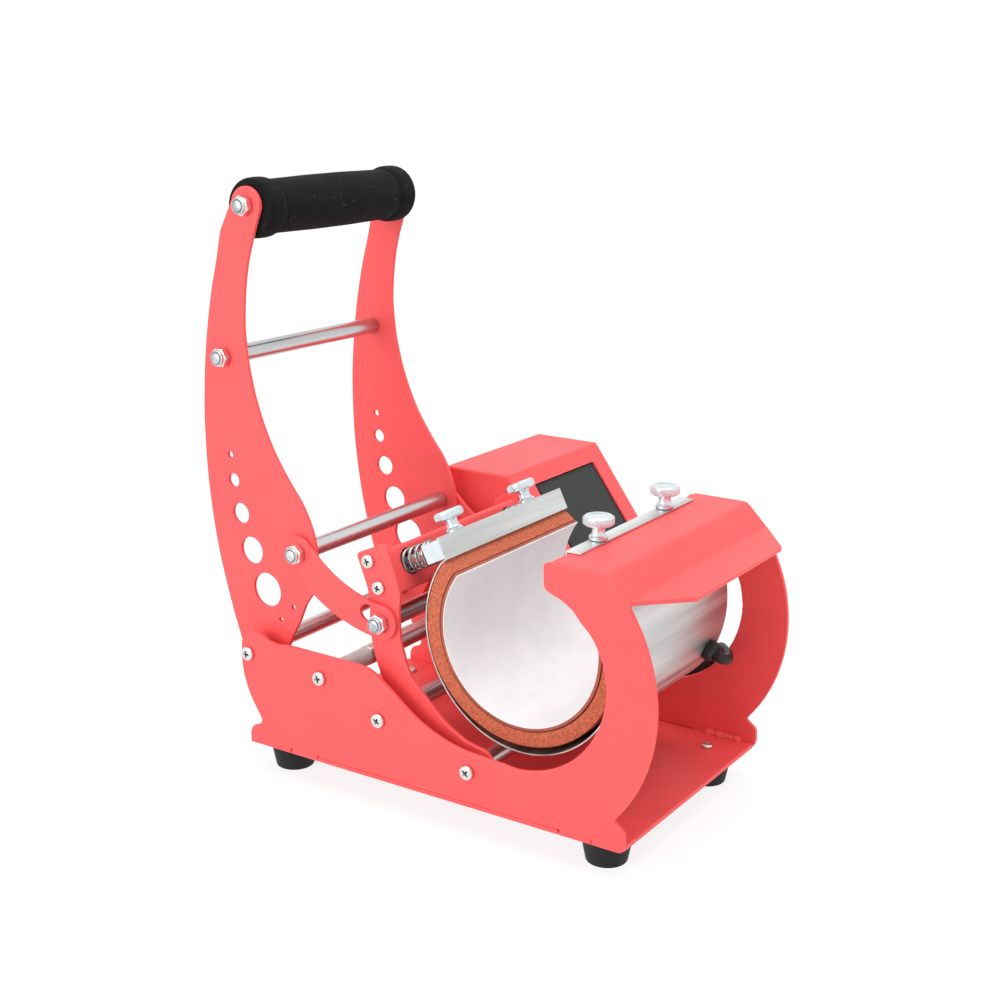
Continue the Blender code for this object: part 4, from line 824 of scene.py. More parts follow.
def prism(rings: Sequence[Ring], low: float, high: float, edge: float = 0.0004,
          facing: Matrix = Facing.SIDE.value, at: Sequence[float] = (0, 0, 0), ladder: bool = False) -> Shape:
    """Extrude an outline with holes and round its rims.

    Args:
        rings: The outline, then its holes, as (u, v) points.
        low: Start of the extrusion along w.
        high: End of the extrusion along w.
        edge: Radius of the rims.
        facing: Directions of u, v and w as the columns of a matrix.
        at: Point added to every vertex.
        ladder: Close the ends rung by rung, for a strip whose two long sides have as many points.

    Returns:
        The closed solid.
    """
    turned = [list(ring) if (signed_area(ring) > 0) == (number == 0) else list(reversed(ring))
              for number, ring in enumerate(rings)]
    bend = [(edge * (1 - math.sin(a)), edge * (1 - math.cos(a))) for a in (0, math.pi / 4, math.pi / 2)]
    levels = [(inset, low + rise) for inset, rise in bend]
    levels += [(inset, high - rise) for inset, rise in reversed(bend)]
    stack = [[inset_ring(ring, inset) if inset else ring for ring in turned] for inset, _ in levels]
    verts = [Vector(at) + facing @ Vector((u, v, w))
             for moved, (_, w) in zip(stack, levels) for ring in moved for u, v in ring]
    faces = []
    count = sum(len(ring) for ring in turned)
    for number in range(len(levels) - 1):
        offset = number * count
        for ring in turned:
            size = len(ring)
            for i in range(size):
                a, b = offset + i, offset + (i + 1) % size
                faces.append((a, b, b + count, a + count))
            offset += size
    for rows, start, up in ((stack[0], 0, False), (stack[-1], (len(levels) - 1) * count, True)):
        if ladder:
            for i in range(count // 2 - 1):
                rung = (start + i, start + i + 1, start + count - 2 - i, start + count - 1 - i)
                faces.append(rung if up else tuple(reversed(rung)))
            continue
        flat = [Vector((u, v, 0)) for ring in rows for u, v in ring]
        for a, b, c in tessellate_polygon([[Vector((u, v, 0)) for u, v in ring] for ring in rows]):
            side = (flat[b] - flat[a]).cross(flat[c] - flat[a]).z
            if (side > 0) != up:
                b, c = c, b
            faces.append((a + start, b + start, c + start))
    return Shape().add(verts, faces)


def lathe(profile: Sequence[Pair], centre: Sequence[float], direction: Sequence[float], steps: int = 56,
          closed: bool = False) -> Shape:
    """Turn a (radius, height) profile about a line.

    Args:
        profile: An open profile from axis to axis, or a closed ring off the axis.
        centre: Point on the line at height zero.
        direction: Direction of the line.
        steps: Number of sides.
        closed: Whether the profile is a ring.

    Returns:
        The closed solid.
    """
    turn = Vector((0, 0, 1)).rotation_difference(Vector(direction)).to_matrix()
    base = Vector(centre)
    if closed and signed_area(list(profile)) < 0:
        profile = list(reversed(profile))
    verts, rows, faces = [], [], []
    for radius, height in profile:
        sides = 1 if radius < TINY else steps
        rows.append(list(range(len(verts), len(verts) + sides)))
        for i in range(sides):
            a = math.tau * i / steps
            verts.append(base + turn @ Vector((radius * math.cos(a), radius * math.sin(a), height)))
    pairs = list(zip(rows, rows[1:])) + ([(rows[-1], rows[0])] if closed else [])
    for low, high in pairs:
        if len(low) == 1 and len(high) == 1:
            continue
        for i in range(steps):
            j = (i + 1) % steps
            quad = (low[i % len(low)], low[j % len(low)], high[j % len(high)], high[i % len(high)])
            faces.append(tuple(dict.fromkeys(quad)))
    return Shape().add(verts, faces)


def plug(centre: Sequence[float], direction: Sequence[float], radius: float, length: float,
         steps: int) -> Shape:
    """Return a plain cylinder that starts at a centre."""
    return lathe([(0, 0), (radius, 0), (radius, length), (0, length)], centre, direction, steps)


def sweep(points: Sequence[Sequence[float]], radius: float, sides: int) -> Shape:
    """Return a round tube with closed ends along a line.

    Args:
        points: The line.
        radius: The tube's radius.
        sides: Number of sides.

    Returns:
        The closed solid.
    """
    line = [Vector(p) for p in points]
    last = len(line) - 1
    ahead = (line[1] - line[0]).normalized()
    side = ahead.orthogonal().normalized()
    verts, faces = [], []
    for i, point in enumerate(line):
        way = (line[min(i + 1, last)] - line[max(i - 1, 0)]).normalized()
        side = (side - way * side.dot(way)).normalized()
        other = way.cross(side)
        for k in range(sides):
            a = math.tau * k / sides
            verts.append(point + (side * math.cos(a) + other * math.sin(a)) * radius)
    for i in range(last):
        for k in range(sides):
            a, b = i * sides + k, i * sides + (k + 1) % sides
            faces.append((a, b, b + sides, a + sides))
    faces.append(tuple(reversed(range(sides))))
    faces.append(tuple(last * sides + k for k in range(sides)))
    return Shape().add(verts, faces)


class Bench:
    """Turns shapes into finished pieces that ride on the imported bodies."""

    def __init__(self) -> None:
        """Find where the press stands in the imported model's frame."""
        self.origin = LAYOUT.origin()

    def world(self, point: Sequence[float]) -> Vector:
        """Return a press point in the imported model's frame."""
        return self.origin + Vector(point)

    def mesh(self, name: str, shape: Shape, finish: Finish, local: bool = False) -> Object:
        """Make an object from a shape.

        Args:
            name: The object's name.
            shape: Its solid in press coordinates.
            finish: Its material.
            local: Whether the shape is a template that stays round its own origin.

        Returns:
            The object, with its place in the mesh.
        """
        base = Vector() if local else self.origin
        data = bpy.data.meshes.new(name)
        data.from_pydata([base + v for v in shape.verts], [], shape.faces)
        data.update()
        data.materials.append(finish.material())
        obj = put(name, data)
        soften(obj)
        return obj

    def template(self, name: str, shape: Shape, finish: Finish) -> Object:
        """Make an object round its own origin, with no modifiers."""
        obj = self.mesh(name, shape, finish, True)
        obj.modifiers.clear()
        return obj

    def carve(self, obj: Object, cutters: Sequence[Shape], operation: str = "DIFFERENCE",
              local: bool = False) -> None:
        """Apply Booleans to an object and leave it a plain mesh with face-weighted normals.

        Args:
            obj: The object to change.
            cutters: Closed solids in press coordinates.
            operation: The Boolean's operation.
            local: Whether the object is a template round its own origin.
        """
        made = []
        material = obj.data.materials[0]
        obj.modifiers.clear()
        for number, shape in enumerate(cutters):
            cutter = self.mesh(f"cutter_{number}", shape, Palette.red, local)
            cutter.modifiers.clear()
            modifier = obj.modifiers.new(cutter.name, "BOOLEAN")
            modifier.operation = operation
            modifier.solver = "EXACT"
            modifier.object = cutter
            made.append(cutter)
        mesh = obj.data = baked(obj)
        mesh.materials.clear()
        mesh.materials.append(material)
        mesh.polygons.foreach_set("material_index", [0] * len(mesh.polygons))
        soften(obj)
        for cutter in made:
            bpy.data.objects.remove(cutter)

    def settle(self, obj: Object, body: str, nodes: Iterable[str] = ()) -> Object:
        """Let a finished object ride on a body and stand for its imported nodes.

        Args:
            obj: The finished object.
            body: The body that it rides on.
            nodes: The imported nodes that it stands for.

        Returns:
            The object.
        """
        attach(obj, body)
        if nodes:
            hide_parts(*nodes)
        log.info("piece %s on %s, %d faces", obj.name, body, len(obj.data.polygons))
        return obj

    def piece(self, name: str, shape: Shape, finish: Finish, body: str, nodes: Iterable[str] = ()) -> Object:
        """Make an object from a shape and settle it on its body."""
        return self.settle(self.mesh(name, shape, finish), body, nodes)

    def sheets(self, name: str, rings: Sequence[Ring], planes: Pair, body: str, node: str) -> None:
        """Make a left and a right sheet of one outline.

        Args:
            name: The pieces' name, before the side's word.
            rings: The outline, then its holes.
            planes: The sheet's two faces, counted from the centre plane.
            body: The body that they ride on.
            node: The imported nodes' name, before the side's word.
        """
        for word, side in SIDES:
            low, high = sorted(side * plane for plane in planes)
            self.piece(name + word, prism(rings, low, high), Palette.red, body, [node + word])

    def wire(self, name: str, points: Sequence[Vector], radius: float, sides: int, finish: Finish) -> Object:
        """Make a round wire along a line of press points.

        Args:
            name: The object's name.
            points: The wire's middle line.
            radius: The wire's radius.
            sides: Number of sides.
            finish: Its material.

        Returns:
            The wire.
        """
        data = bpy.data.meshes.new(name)
        data.from_pydata([self.world(p) for p in points], [(i, i + 1) for i in range(len(points) - 1)], [])
        obj = put(name, data)
        WireAlong().bake(obj, Radius=radius, Sides=sides, Material=finish.material())
        return obj

    def scatter(self, name: str, template: Object, spots: Sequence["Spot"], finish: Finish, body: str,
                nodes: Iterable[str] = ()) -> None:
        """Place copies of a template on press points as one piece.

        Args:
            name: The piece's name.
            template: The object to copy.
            spots: Where the copies stand.
            finish: Their material.
            body: The body that they ride on.
            nodes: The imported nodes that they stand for.
        """
        data = bpy.data.meshes.new(name)
        data.from_pydata([self.world(spot.point) for spot in spots], [], [])
        facing = data.attributes.new("facing", "FLOAT_VECTOR", "POINT")
        facing.data.foreach_set("vector", [v for spot in spots for v in spot.facing])
        for key in ("spin", "size"):
            numbers = data.attributes.new(key, "FLOAT", "POINT")
            numbers.data.foreach_set("value", [getattr(spot, key) for spot in spots])
        obj = put(name, data)
        PlaceParts().bake(obj, Template=template, Material=finish.material())
        self.settle(obj, body, nodes)


@dataclass(frozen=True)
class Spot:
    """Where one copy of a template stands, in press coordinates."""

    point: Triple
    facing: Triple
    spin: float = 0.0
    size: float = 1.0


# Studio


def seen_rays(board: Board) -> Socket:
    """Return one for the rays that show the surround: camera, glossy and transmission rays."""
    rays = board.add("ShaderNodeLightPath").outputs
    first = board.maths("ADD", rays["Is Camera Ray"], rays["Is Glossy Ray"], True)
    return board.maths("ADD", first, rays["Is Transmission Ray"], True)


def bare_board(owner: bpy.types.World | bpy.types.Material) -> Board:
    """Return the board of a world or material with no nodes on it."""
    owner.use_nodes = True
    owner.node_tree.nodes.clear()
    return Board(owner.node_tree)


@dataclass
class Studio:
    """Camera at the photograph's place, soft lamps, pale floor and white surround."""

    azimuth: float = -56.5265
    elevation: float = 15.4071
    roll: float = 0.1836
    lens: float = 57.304
    eye: Triple = (-0.71620, -0.50018, 0.38368)
    floor_half: float = 3.0
    floor_tone: float = 0.86
    floor_glow: float = 1.06
    floor_fade: Pair = (0.25, 0.70)
    world_light: float = 0.84

    def camera(self, bench: Bench) -> None:
        """Make the camera and set it as the scene's."""
        azimuth, elevation, roll = (math.radians(v) for v in (self.azimuth, self.elevation, self.roll))
        turns = ((azimuth, "Z"), (math.pi / 2 - elevation, "X"), (roll, "Z"))
        place = Matrix.Translation(bench.world(self.eye))
        for angle, axis in turns:
            place = place @ Matrix.Rotation(angle, 4, axis)
        data = bpy.data.cameras.new("product_camera")
        data.lens = self.lens
        data.sensor_width = 36.0
        data.clip_start = 0.05
        camera = put("product_camera", data)
        camera.matrix_world = place
        bpy.context.scene.camera = camera

    def lamp(self, name: str, place: Triple, aim: Triple, size: float, power: float) -> None:
        """Add one square soft lamp.

        Args:
            name: The lamp's name.
            place: Where it hangs.
            aim: The point that it faces.
            size: Length of its sides.
            power: Its power in watts.
        """
        data = bpy.data.lights.new(name, "AREA")
        data.shape = "SQUARE"
        data.size = size
        data.energy = power
        lamp = put(name, data)
        lamp.location = place
        lamp.rotation_mode = "QUATERNION"
        lamp.rotation_quaternion = (Vector(aim) - Vector(place)).to_track_quat("-Z", "Y")

    def surround(self) -> None:
        """Make the world white to the camera and softer as a light."""
        world = bpy.data.worlds.new("white_surround")
        bpy.context.scene.world = world
        board = bare_board(world)
        soft = board.add("ShaderNodeBackground", {"Color": (1, 1, 1, 1), "Strength": self.world_light})
        white = board.add("ShaderNodeBackground", {"Color": (1, 1, 1, 1), "Strength": 1.0})
        mix = board.add("ShaderNodeMixShader", {0: seen_rays(board), 1: soft.outputs[0], 2: white.outputs[0]})
        board.add("ShaderNodeOutputWorld", {0: mix.outputs[0]})

    def floor(self) -> None:
        """Lay the pale floor, which glows white to the camera and keeps the shadow."""
        data = bpy.data.meshes.new("studio_floor")
        corners = centred(0, 0, self.floor_half, self.floor_half)
        data.from_pydata([(x, y, 0) for x, y in corners], [], [(0, 1, 2, 3)])
        floor = put("studio_floor", data)
        material = bpy.data.materials.new("studio_floor_white")
        board = bare_board(material)
        matt = board.add("ShaderNodeBsdfDiffuse", {"Color": (*[self.floor_tone] * 3, 1)})
        glow = board.add("ShaderNodeEmission", {"Color": (1, 1, 1, 1), "Strength": self.floor_glow})
        seen = seen_rays(board)
        away = board.vectors("LENGTH", board.spot())["Value"]
        share = board.times(seen, board.span(away, *self.floor_fade, 0.80, 1.0))
        mix = board.add("ShaderNodeMixShader", {0: share, 1: matt.outputs[0], 2: glow.outputs[0]})
        board.add("ShaderNodeOutputMaterial", {0: mix.outputs[0]})
        data.materials.append(material)

    def build(self, bench: Bench) -> None:
        """Set the camera, lamps, surround, floor and colour view."""
        self.camera(bench)
        self.surround()
        self.floor()
        self.lamp("key_softbox", (-1.9, 0.65, 0.65), (0, 0, 0.15), 1.2, 18.0)
        self.lamp("top_softbox", (-0.1, -0.2, 1.9), (0, 0, 0.1), 1.6, 26.0)
        self.lamp("fill_softbox", (0.9, -1.8, 0.8), (0, 0, 0.15), 1.2, 0.8)
        bpy.context.scene.view_settings.view_transform = "Standard"


# Sub-assemblies


@dataclass
class HeaterLead:
    """Gland on the wrap, insulated lead and its joint boot."""

    radius: float = 0.0030
    bore: float = 0.0034
    gland_radius: float = 0.0062
    gland_length: float = 0.0050
    gland_x: float = 0.0500
    gland_angle: float = 3.6128
    wrap_outer: float = 0.0597
    boot_radius: float = 0.0052
    boot_length: float = 0.0280
    box_front: float = -0.0446
    unit: float = 0.1000
    route_share: tuple[Triple, ...] = (
        (-0.287, -1.421, 0.614), (-0.245, -1.440, 0.600), (-0.160, -1.405, 0.592),
        (-0.085, -1.345, 0.585), (-0.010, -1.290, 0.565), (0.050, -1.245, 0.510))
    boot_start_share: Triple = (0.095, -1.185, 0.430)
    boot_finish_share: Triple = (0.095, -0.965, 0.262)
    tail_share: tuple[Triple, ...] = ((0.100, -0.860, 0.208), (0.105, -0.720, 0.186), (0.105, -0.590, 0.182))

    def place(self, row: Triple) -> Vector:
        """Return a point of the lead, its x counted from the side plate's outer face."""
        return Vector(row) * self.unit + Vector((LAYOUT.half_width, 0, 0))

    def exit(self) -> tuple[Vector, Vector]:
        """Return the point and direction at which the lead leaves the wrap."""
        direction = Vector((0, math.cos(self.gland_angle), math.sin(self.gland_angle)))
        reach = LAYOUT.sagged(self.wrap_outer, self.gland_angle) + LAYOUT.gap * 2
        return Vector((self.gland_x, *LAYOUT.wrap_centre)) + direction * reach, direction

    def line(self) -> list[Vector]:
        """Return the lead's middle line from the gland to the box front."""
        start, direction = self.exit()
        shares = (*self.route_share, self.boot_start_share, self.boot_finish_share, *self.tail_share)
        rows = [self.place(row) for row in shares]
        entry = Vector((rows[-1].x, self.box_front - LAYOUT.gap, rows[-1].z))
        knots = [start + direction * (LAYOUT.gap + self.gland_length * i / 2) for i in range(3)]
        return [Vector(p) for p in smooth_line(knots + rows + [entry], 8)]

    def build(self, bench: Bench) -> None:
        """Make the gland, the lead and the boot."""
        start, direction = self.exit()
        length = self.gland_length
        rim = [(self.bore, 0), (self.gland_radius, 0), (self.gland_radius, length * 0.55),
               (self.gland_radius * 0.80, length), (self.bore, length)]
        gland = bench.piece("lead_gland_bush", lathe(fillet(rim, 0.0006), start, direction, 40, True),
                            Palette.plastic, "frame", ["lead_gland"])
        points = self.line()
        lead = bench.piece("insulated_heater_lead", sweep(points, self.radius, 18), Palette.plastic, "frame",
                           ["heater_lead"])
        first = self.place(self.boot_start_share)
        last = self.place(self.boot_finish_share)
        along = (last - first).normalized()
        inner = self.bore + LAYOUT.gap
        ribs = [(inner, 0), (self.boot_radius * 0.86, 0)]
        for i in range(6):
            at = self.boot_length * (0.10 + 0.14 * i)
            ribs += [(self.boot_radius, at), (self.boot_radius, at + self.boot_length * 0.08),
                     (self.boot_radius * 0.88, at + self.boot_length * 0.10)]
        ribs += [(self.boot_radius * 0.84, self.boot_length), (inner, self.boot_length)]
        base = (first + last) / 2 - along * self.boot_length / 2
        boot = bench.piece("ribbed_lead_boot", lathe(ribs, base, along, 36, True), Palette.plastic, "frame",
                           ["lead_boot"])
        world = [bench.world(p) for p in points]
        length = sum((b - a).length for a, b in zip(world, world[1:]))
        log.info("heater lead is %.3f m long", length)


@dataclass
class Chassis:
    """Side plates, base sheet, hood and feet."""

    hook_outer_radius: float = 0.0931
    hook_outer: Pair = (-0.0767, 0.0773)
    hook_inner_radius: float = 0.0557
    hook_inner: Pair = (-0.0861, 0.0853)
    hook_steps: int = 90
    screw_hole: float = 0.0023
    hood_line: tuple[Pair, ...] = ((-0.1090, 0.1462), (-0.1411, 0.1462), (-0.1533, 0.1340), (-0.1753, 0.1326))
    hood_bend: float = 0.0060
    hood_crease: float = 0.0012
    hood_edge: float = 0.0012
    hood_tuck: float = 0.00002
    hood_lip_half: float = 0.0506
    keyholes: tuple[float, ...] = (-0.1347, -0.1152, 0.0446, 0.0644)
    keyhole_z: float = 0.0024
    keyhole_radius: float = 0.0008
    slit_half: float = 0.00025
    tab_top: float = 0.0023
    seam: float = 0.0002
    weld_y: tuple[float, ...] = (
        -0.1245, -0.1268, -0.1289, -0.1313, -0.1336, -0.1358, -0.1383, -0.1405, -0.1430)
    weld_radius: float = 0.0026
    base_corner: float = 0.0010
    corner: float = 0.0030
    foot_hole: float = 0.0025
    foot_x: float = 0.0578
    foot_y: Pair = (-0.1323, 0.0798)
    foot_height: float = 0.0175
    foot_top: float = 0.0140
    foot_bottom: float = 0.0110
    foot_recess: Pair = (0.0055, 0.0060)
    foot_round: float = 0.0014
    rear_share: tuple[Pair, ...] = (
        (0.3796, 0.0252), (0.3712, 0.0416), (0.3520, 0.0500), (0.3448, 0.0644), (0.3596, 0.0892),
        (0.3768, 0.1180), (0.3908, 0.1556), (0.3980, 0.1940), (0.3972, 0.2444))
    top_share: tuple[Pair, ...] = (
        (0.3952, 0.2524), (0.3688, 0.2712), (0.3440, 0.2756), (0.3136, 0.2620), (0.2836, 0.2588),
        (0.2500, 0.2624), (0.1112, 0.2612), (0.0428, 0.2596), (0.0092, 0.2480), (-0.0404, 0.2136),
        (-0.0996, 0.1708), (-0.1644, 0.1416), (-0.2276, 0.1272), (-0.3008, 0.1228), (-0.3564, 0.1184))
    tip_share: tuple[Pair, ...] = (
        (-0.4189, 0.5338), (-0.4178, 0.5812), (-0.5630, 0.5812), (-0.6165, 0.5276))
    throat_ease: float = math.radians(12)
    throat_share: tuple[Pair, ...] = (
        (-0.5603, 0.3855), (-0.5426, 0.4280), (-0.5268, 0.4508), (-0.5048, 0.4723), (-0.4901, 0.4892),
        (-0.4756, 0.5004), (-0.4581, 0.5100), (-0.4378, 0.5175), (-0.4243, 0.5235))
    notch_share: tuple[Pair, ...] = ((-0.5904, 0.0656), (-0.6144, 0.0464), (-0.6164, 0.0196), (-0.6108, 0.0))

    def bottom(self) -> Ring:
        """Return the bottom edge from front to rear, with its keyhole slits and the tab's notch."""
        half, radius, z = self.slit_half, self.keyhole_radius, self.keyhole_z
        tilt = math.asin(half / radius)
        foot = z - radius * math.cos(tilt)
        join = self.tab_top + self.seam
        flat = math.asin((join - z) / radius)
        line: Ring = []
        for number, y in enumerate(self.keyholes):
            down = -math.pi / 2 - tilt
            up = -math.pi * 5 / 2 + tilt
            if number == 2:
                down = -math.pi - flat
            else:
                line += [(y - half, 0), (y - half, foot)]
            if number == 1:
                up = -math.tau + flat
            line += arc((y, z), radius, down, up, 10)
            if number != 1:
                line += [(y + half, foot), (y + half, 0)]
        return line + [(LAYOUT.base_rear, 0)]

    def side_outline(self) -> Ring:
        """Return the outline of a side plate with its open hook."""
        tip = LAYOUT.outline(self.tip_share)
        throat = LAYOUT.outline(self.throat_share)
        notch = LAYOUT.outline(self.notch_share)
        top = smooth_line(LAYOUT.outline(self.top_share), 8)
        steps = self.hook_steps
        start = angle_at(self.hook_inner, top[-1])
        end = angle_at(self.hook_inner, throat[0]) - math.tau
        step = (start - end) / steps
        inner = arc(self.hook_inner, self.hook_inner_radius, start - step, end + self.throat_ease, steps - 3)
        bend = smooth_line([*inner[-3:], *throat], 4)
        start = angle_at(self.hook_outer, tip[-1])
        end = angle_at(self.hook_outer, notch[0]) + math.tau
        step = (end - start) / steps
        outer = arc(self.hook_outer, self.hook_outer_radius, start + step, end - step, steps - 2)
        rear = smooth_line(LAYOUT.outline(self.rear_share), 6)
        nose = fillet([bend[-1], *tip, outer[0]], self.corner, False)[1:-1]
        toe = fillet([outer[-1], *notch, (0, 0)], self.corner, False)[1:-1]
        return top + inner[:-3] + bend + nose + outer + toe + self.bottom() + rear

    def side_plates(self, bench: Bench) -> None:
        """Make both side plates."""
        axes = (LAYOUT.handle_pivot, LAYOUT.stop_axis, LAYOUT.spacer_axis, LAYOUT.swing_pivot)
        rings = [self.side_outline()] + [circle(axis, self.screw_hole, 24) for axis in axes]
        planes = (LAYOUT.half_width - LAYOUT.sheet, LAYOUT.half_width)
        bench.sheets("side_plate_sheet_", rings, planes, "frame", "side_plate_")

    def base(self, bench: Bench) -> None:
        """Make the base sheet and the tabs that close the side plates' notches."""
        half = LAYOUT.half_width - LAYOUT.sheet - self.hood_tuck
        front, rear = LAYOUT.base_front, LAYOUT.base_rear
        ring = fillet(rectangle((-half, front), (half, rear)), self.base_corner)
        holes = [circle((x, y), self.foot_hole, 20) for x in (-self.foot_x, self.foot_x) for y in self.foot_y]
        shape = prism([ring] + holes, 0, LAYOUT.sheet, facing=Facing.PLAN.value)
        first = self.keyholes[1] + self.slit_half
        last = self.keyholes[2] - self.slit_half
        for _, side in SIDES:
            low, high = sorted((side * LAYOUT.half_width, side * (LAYOUT.half_width - LAYOUT.sheet)))
            tab = rectangle((low, first), (high, last))
            shape.join(prism([tab], 0, self.tab_top, facing=Facing.PLAN.value))
        bench.piece("base_sheet_with_tabs", shape, Palette.red, "frame", ["base_plate"])

    def hood(self, bench: Bench) -> None:
        """Make the bent hood with its tapered front lip."""
        upper = fillet(self.hood_line[:3], self.hood_bend, False, 8, 0.05)
        line = upper[:-2] + fillet([upper[-2], *self.hood_line[2:]], self.hood_crease, False, 8, 0.05)
        ring = line + list(reversed(offset_line(line, -LAYOUT.sheet)))
        bend_y, lip_y = self.hood_line[2][0], self.hood_line[3][0]
        taper = self.hood_lip_half / LAYOUT.half_width

        def narrow(point: Vector) -> Vector:
            """Draw the sides in between the bend and the lip."""
            share = min(1.0, max(0.0, (bend_y - point.y) / (bend_y - lip_y)))
            return Vector((point.x * (1 + (taper - 1) * share), point.y, point.z))

        half = LAYOUT.half_width - self.hood_tuck
        shape = prism([ring], -half, half, self.hood_edge).warp(narrow)
        bench.piece("hood_sheet", shape, Palette.red, "frame", ["hood"])

    def welds(self, bench: Bench) -> None:
        """Make the painted weld beads in the front corners between base and side plates."""
        shape = Shape()
        inner = LAYOUT.half_width - LAYOUT.sheet
        for _, side in SIDES:
            for number, y in enumerate(self.weld_y):
                wave = math.sin(number * 2.3 + side) * 0.5 + math.sin(number * 5.1) * 0.5
                radius = self.weld_radius * (1.0 + 0.28 * wave)
                centre = (side * (inner - radius * 0.35), y, LAYOUT.sheet + radius * 0.10)
                profile = [(radius * math.cos(a), radius * math.sin(a)) for a in
                           [math.pi * (i / 8 - 0.5) for i in range(9)]]
                profile = [(0, profile[0][1]), *profile[1:-1], (0, profile[-1][1])]
                shape.join(lathe(profile, centre, (0, 0.35 * wave, 1), 16))
        bench.piece("corner_weld_beads", shape, Palette.red, "frame")

    def feet(self, bench: Bench) -> None:
        """Make the four rubber feet."""
        low, radius = -self.foot_height, self.foot_recess[0]
        line = [(0, low + self.foot_recess[1]), (radius, low + self.foot_recess[1]), (radius, low),
                (self.foot_bottom, low), (self.foot_top, -LAYOUT.sheet), (self.foot_top, 0), (0, 0)]
        profile = fillet(line, self.foot_round, False)
        for end, y in zip(("front", "rear"), self.foot_y):
            for word, side in SIDES:
                shape = lathe(profile, (side * self.foot_x, y, -LAYOUT.gap), ALONG_Z, 64)
                node = f"foot_{end}_{word}"
                bench.piece("rubber_" + node, shape, Palette.rubber, "frame", [node])

    def build(self, bench: Bench) -> None:
        """Make every sheet of the chassis and its feet."""
        self.side_plates(bench)
        self.base(bench)
        self.hood(bench)
        self.welds(bench)
        self.feet(bench)


@dataclass
class CrossRods:
    """Four cross rods between the side plates and the stop sleeves."""

    radius: float = 0.0050
    half: float = 0.0762
    tap: Pair = (0.0023, 0.0140)
    tube_radius: float = 0.00575
    tube_half: float = 0.0375
    core_radius: float = 0.0040
    sleeve: Pair = (0.0043, 0.0055)
    sleeve_x: Pair = (0.0378, 0.0759)

    def rod(self, sections: Sequence[Pair], axis: Pair) -> Shape:
        """Return a tapped rod.

        Args:
            sections: Where each section ends towards the middle, and its radius, from the end inwards.
            axis: Place of the rod's middle line, as (y, z).

        Returns:
            The closed solid.
        """
        inner = self.half - self.tap[1]
        right = [(0, inner), (self.tap[0], inner), (self.tap[0], self.half)]
        previous = self.half
        for length, radius in sections:
            right += [(radius, previous), (radius, length)]
            previous = length
        profile = mirrored(right)
        clean = [p for i, p in enumerate(profile) if i == 0 or p != profile[i - 1]]
        return lathe(fillet(clean, LAYOUT.rim, False, 3), (0, *axis), ALONG_X)

    def build(self, bench: Bench) -> None:
        """Make the rods and sleeves."""
        for name, axis in (("handle_pivot_rod", LAYOUT.handle_pivot), ("spacer_rod", LAYOUT.spacer_axis),
                           ("swing_pivot_rod", LAYOUT.swing_pivot)):
            bench.piece("drawn_" + name, self.rod([(0, self.radius)], axis), Palette.bright, "frame", [name])
        stop = self.rod([(self.tube_half, self.core_radius), (0, self.tube_radius)], LAYOUT.stop_axis)
        bench.piece("drawn_stop_rod", stop, Palette.bright, "frame", ["stop_rod"])
        bore, outer = self.sleeve
        for word, side in SIDES:
            low, high = sorted(side * x for x in self.sleeve_x)
            ring = fillet([(outer, low), (outer, high), (bore, high), (bore, low)], LAYOUT.rim)
            bench.piece("milky_stop_sleeve_" + word, lathe(ring, (0, *LAYOUT.stop_axis), ALONG_X, 48, True),
                        Palette.sleeve, "frame", ["stop_sleeve_" + word])


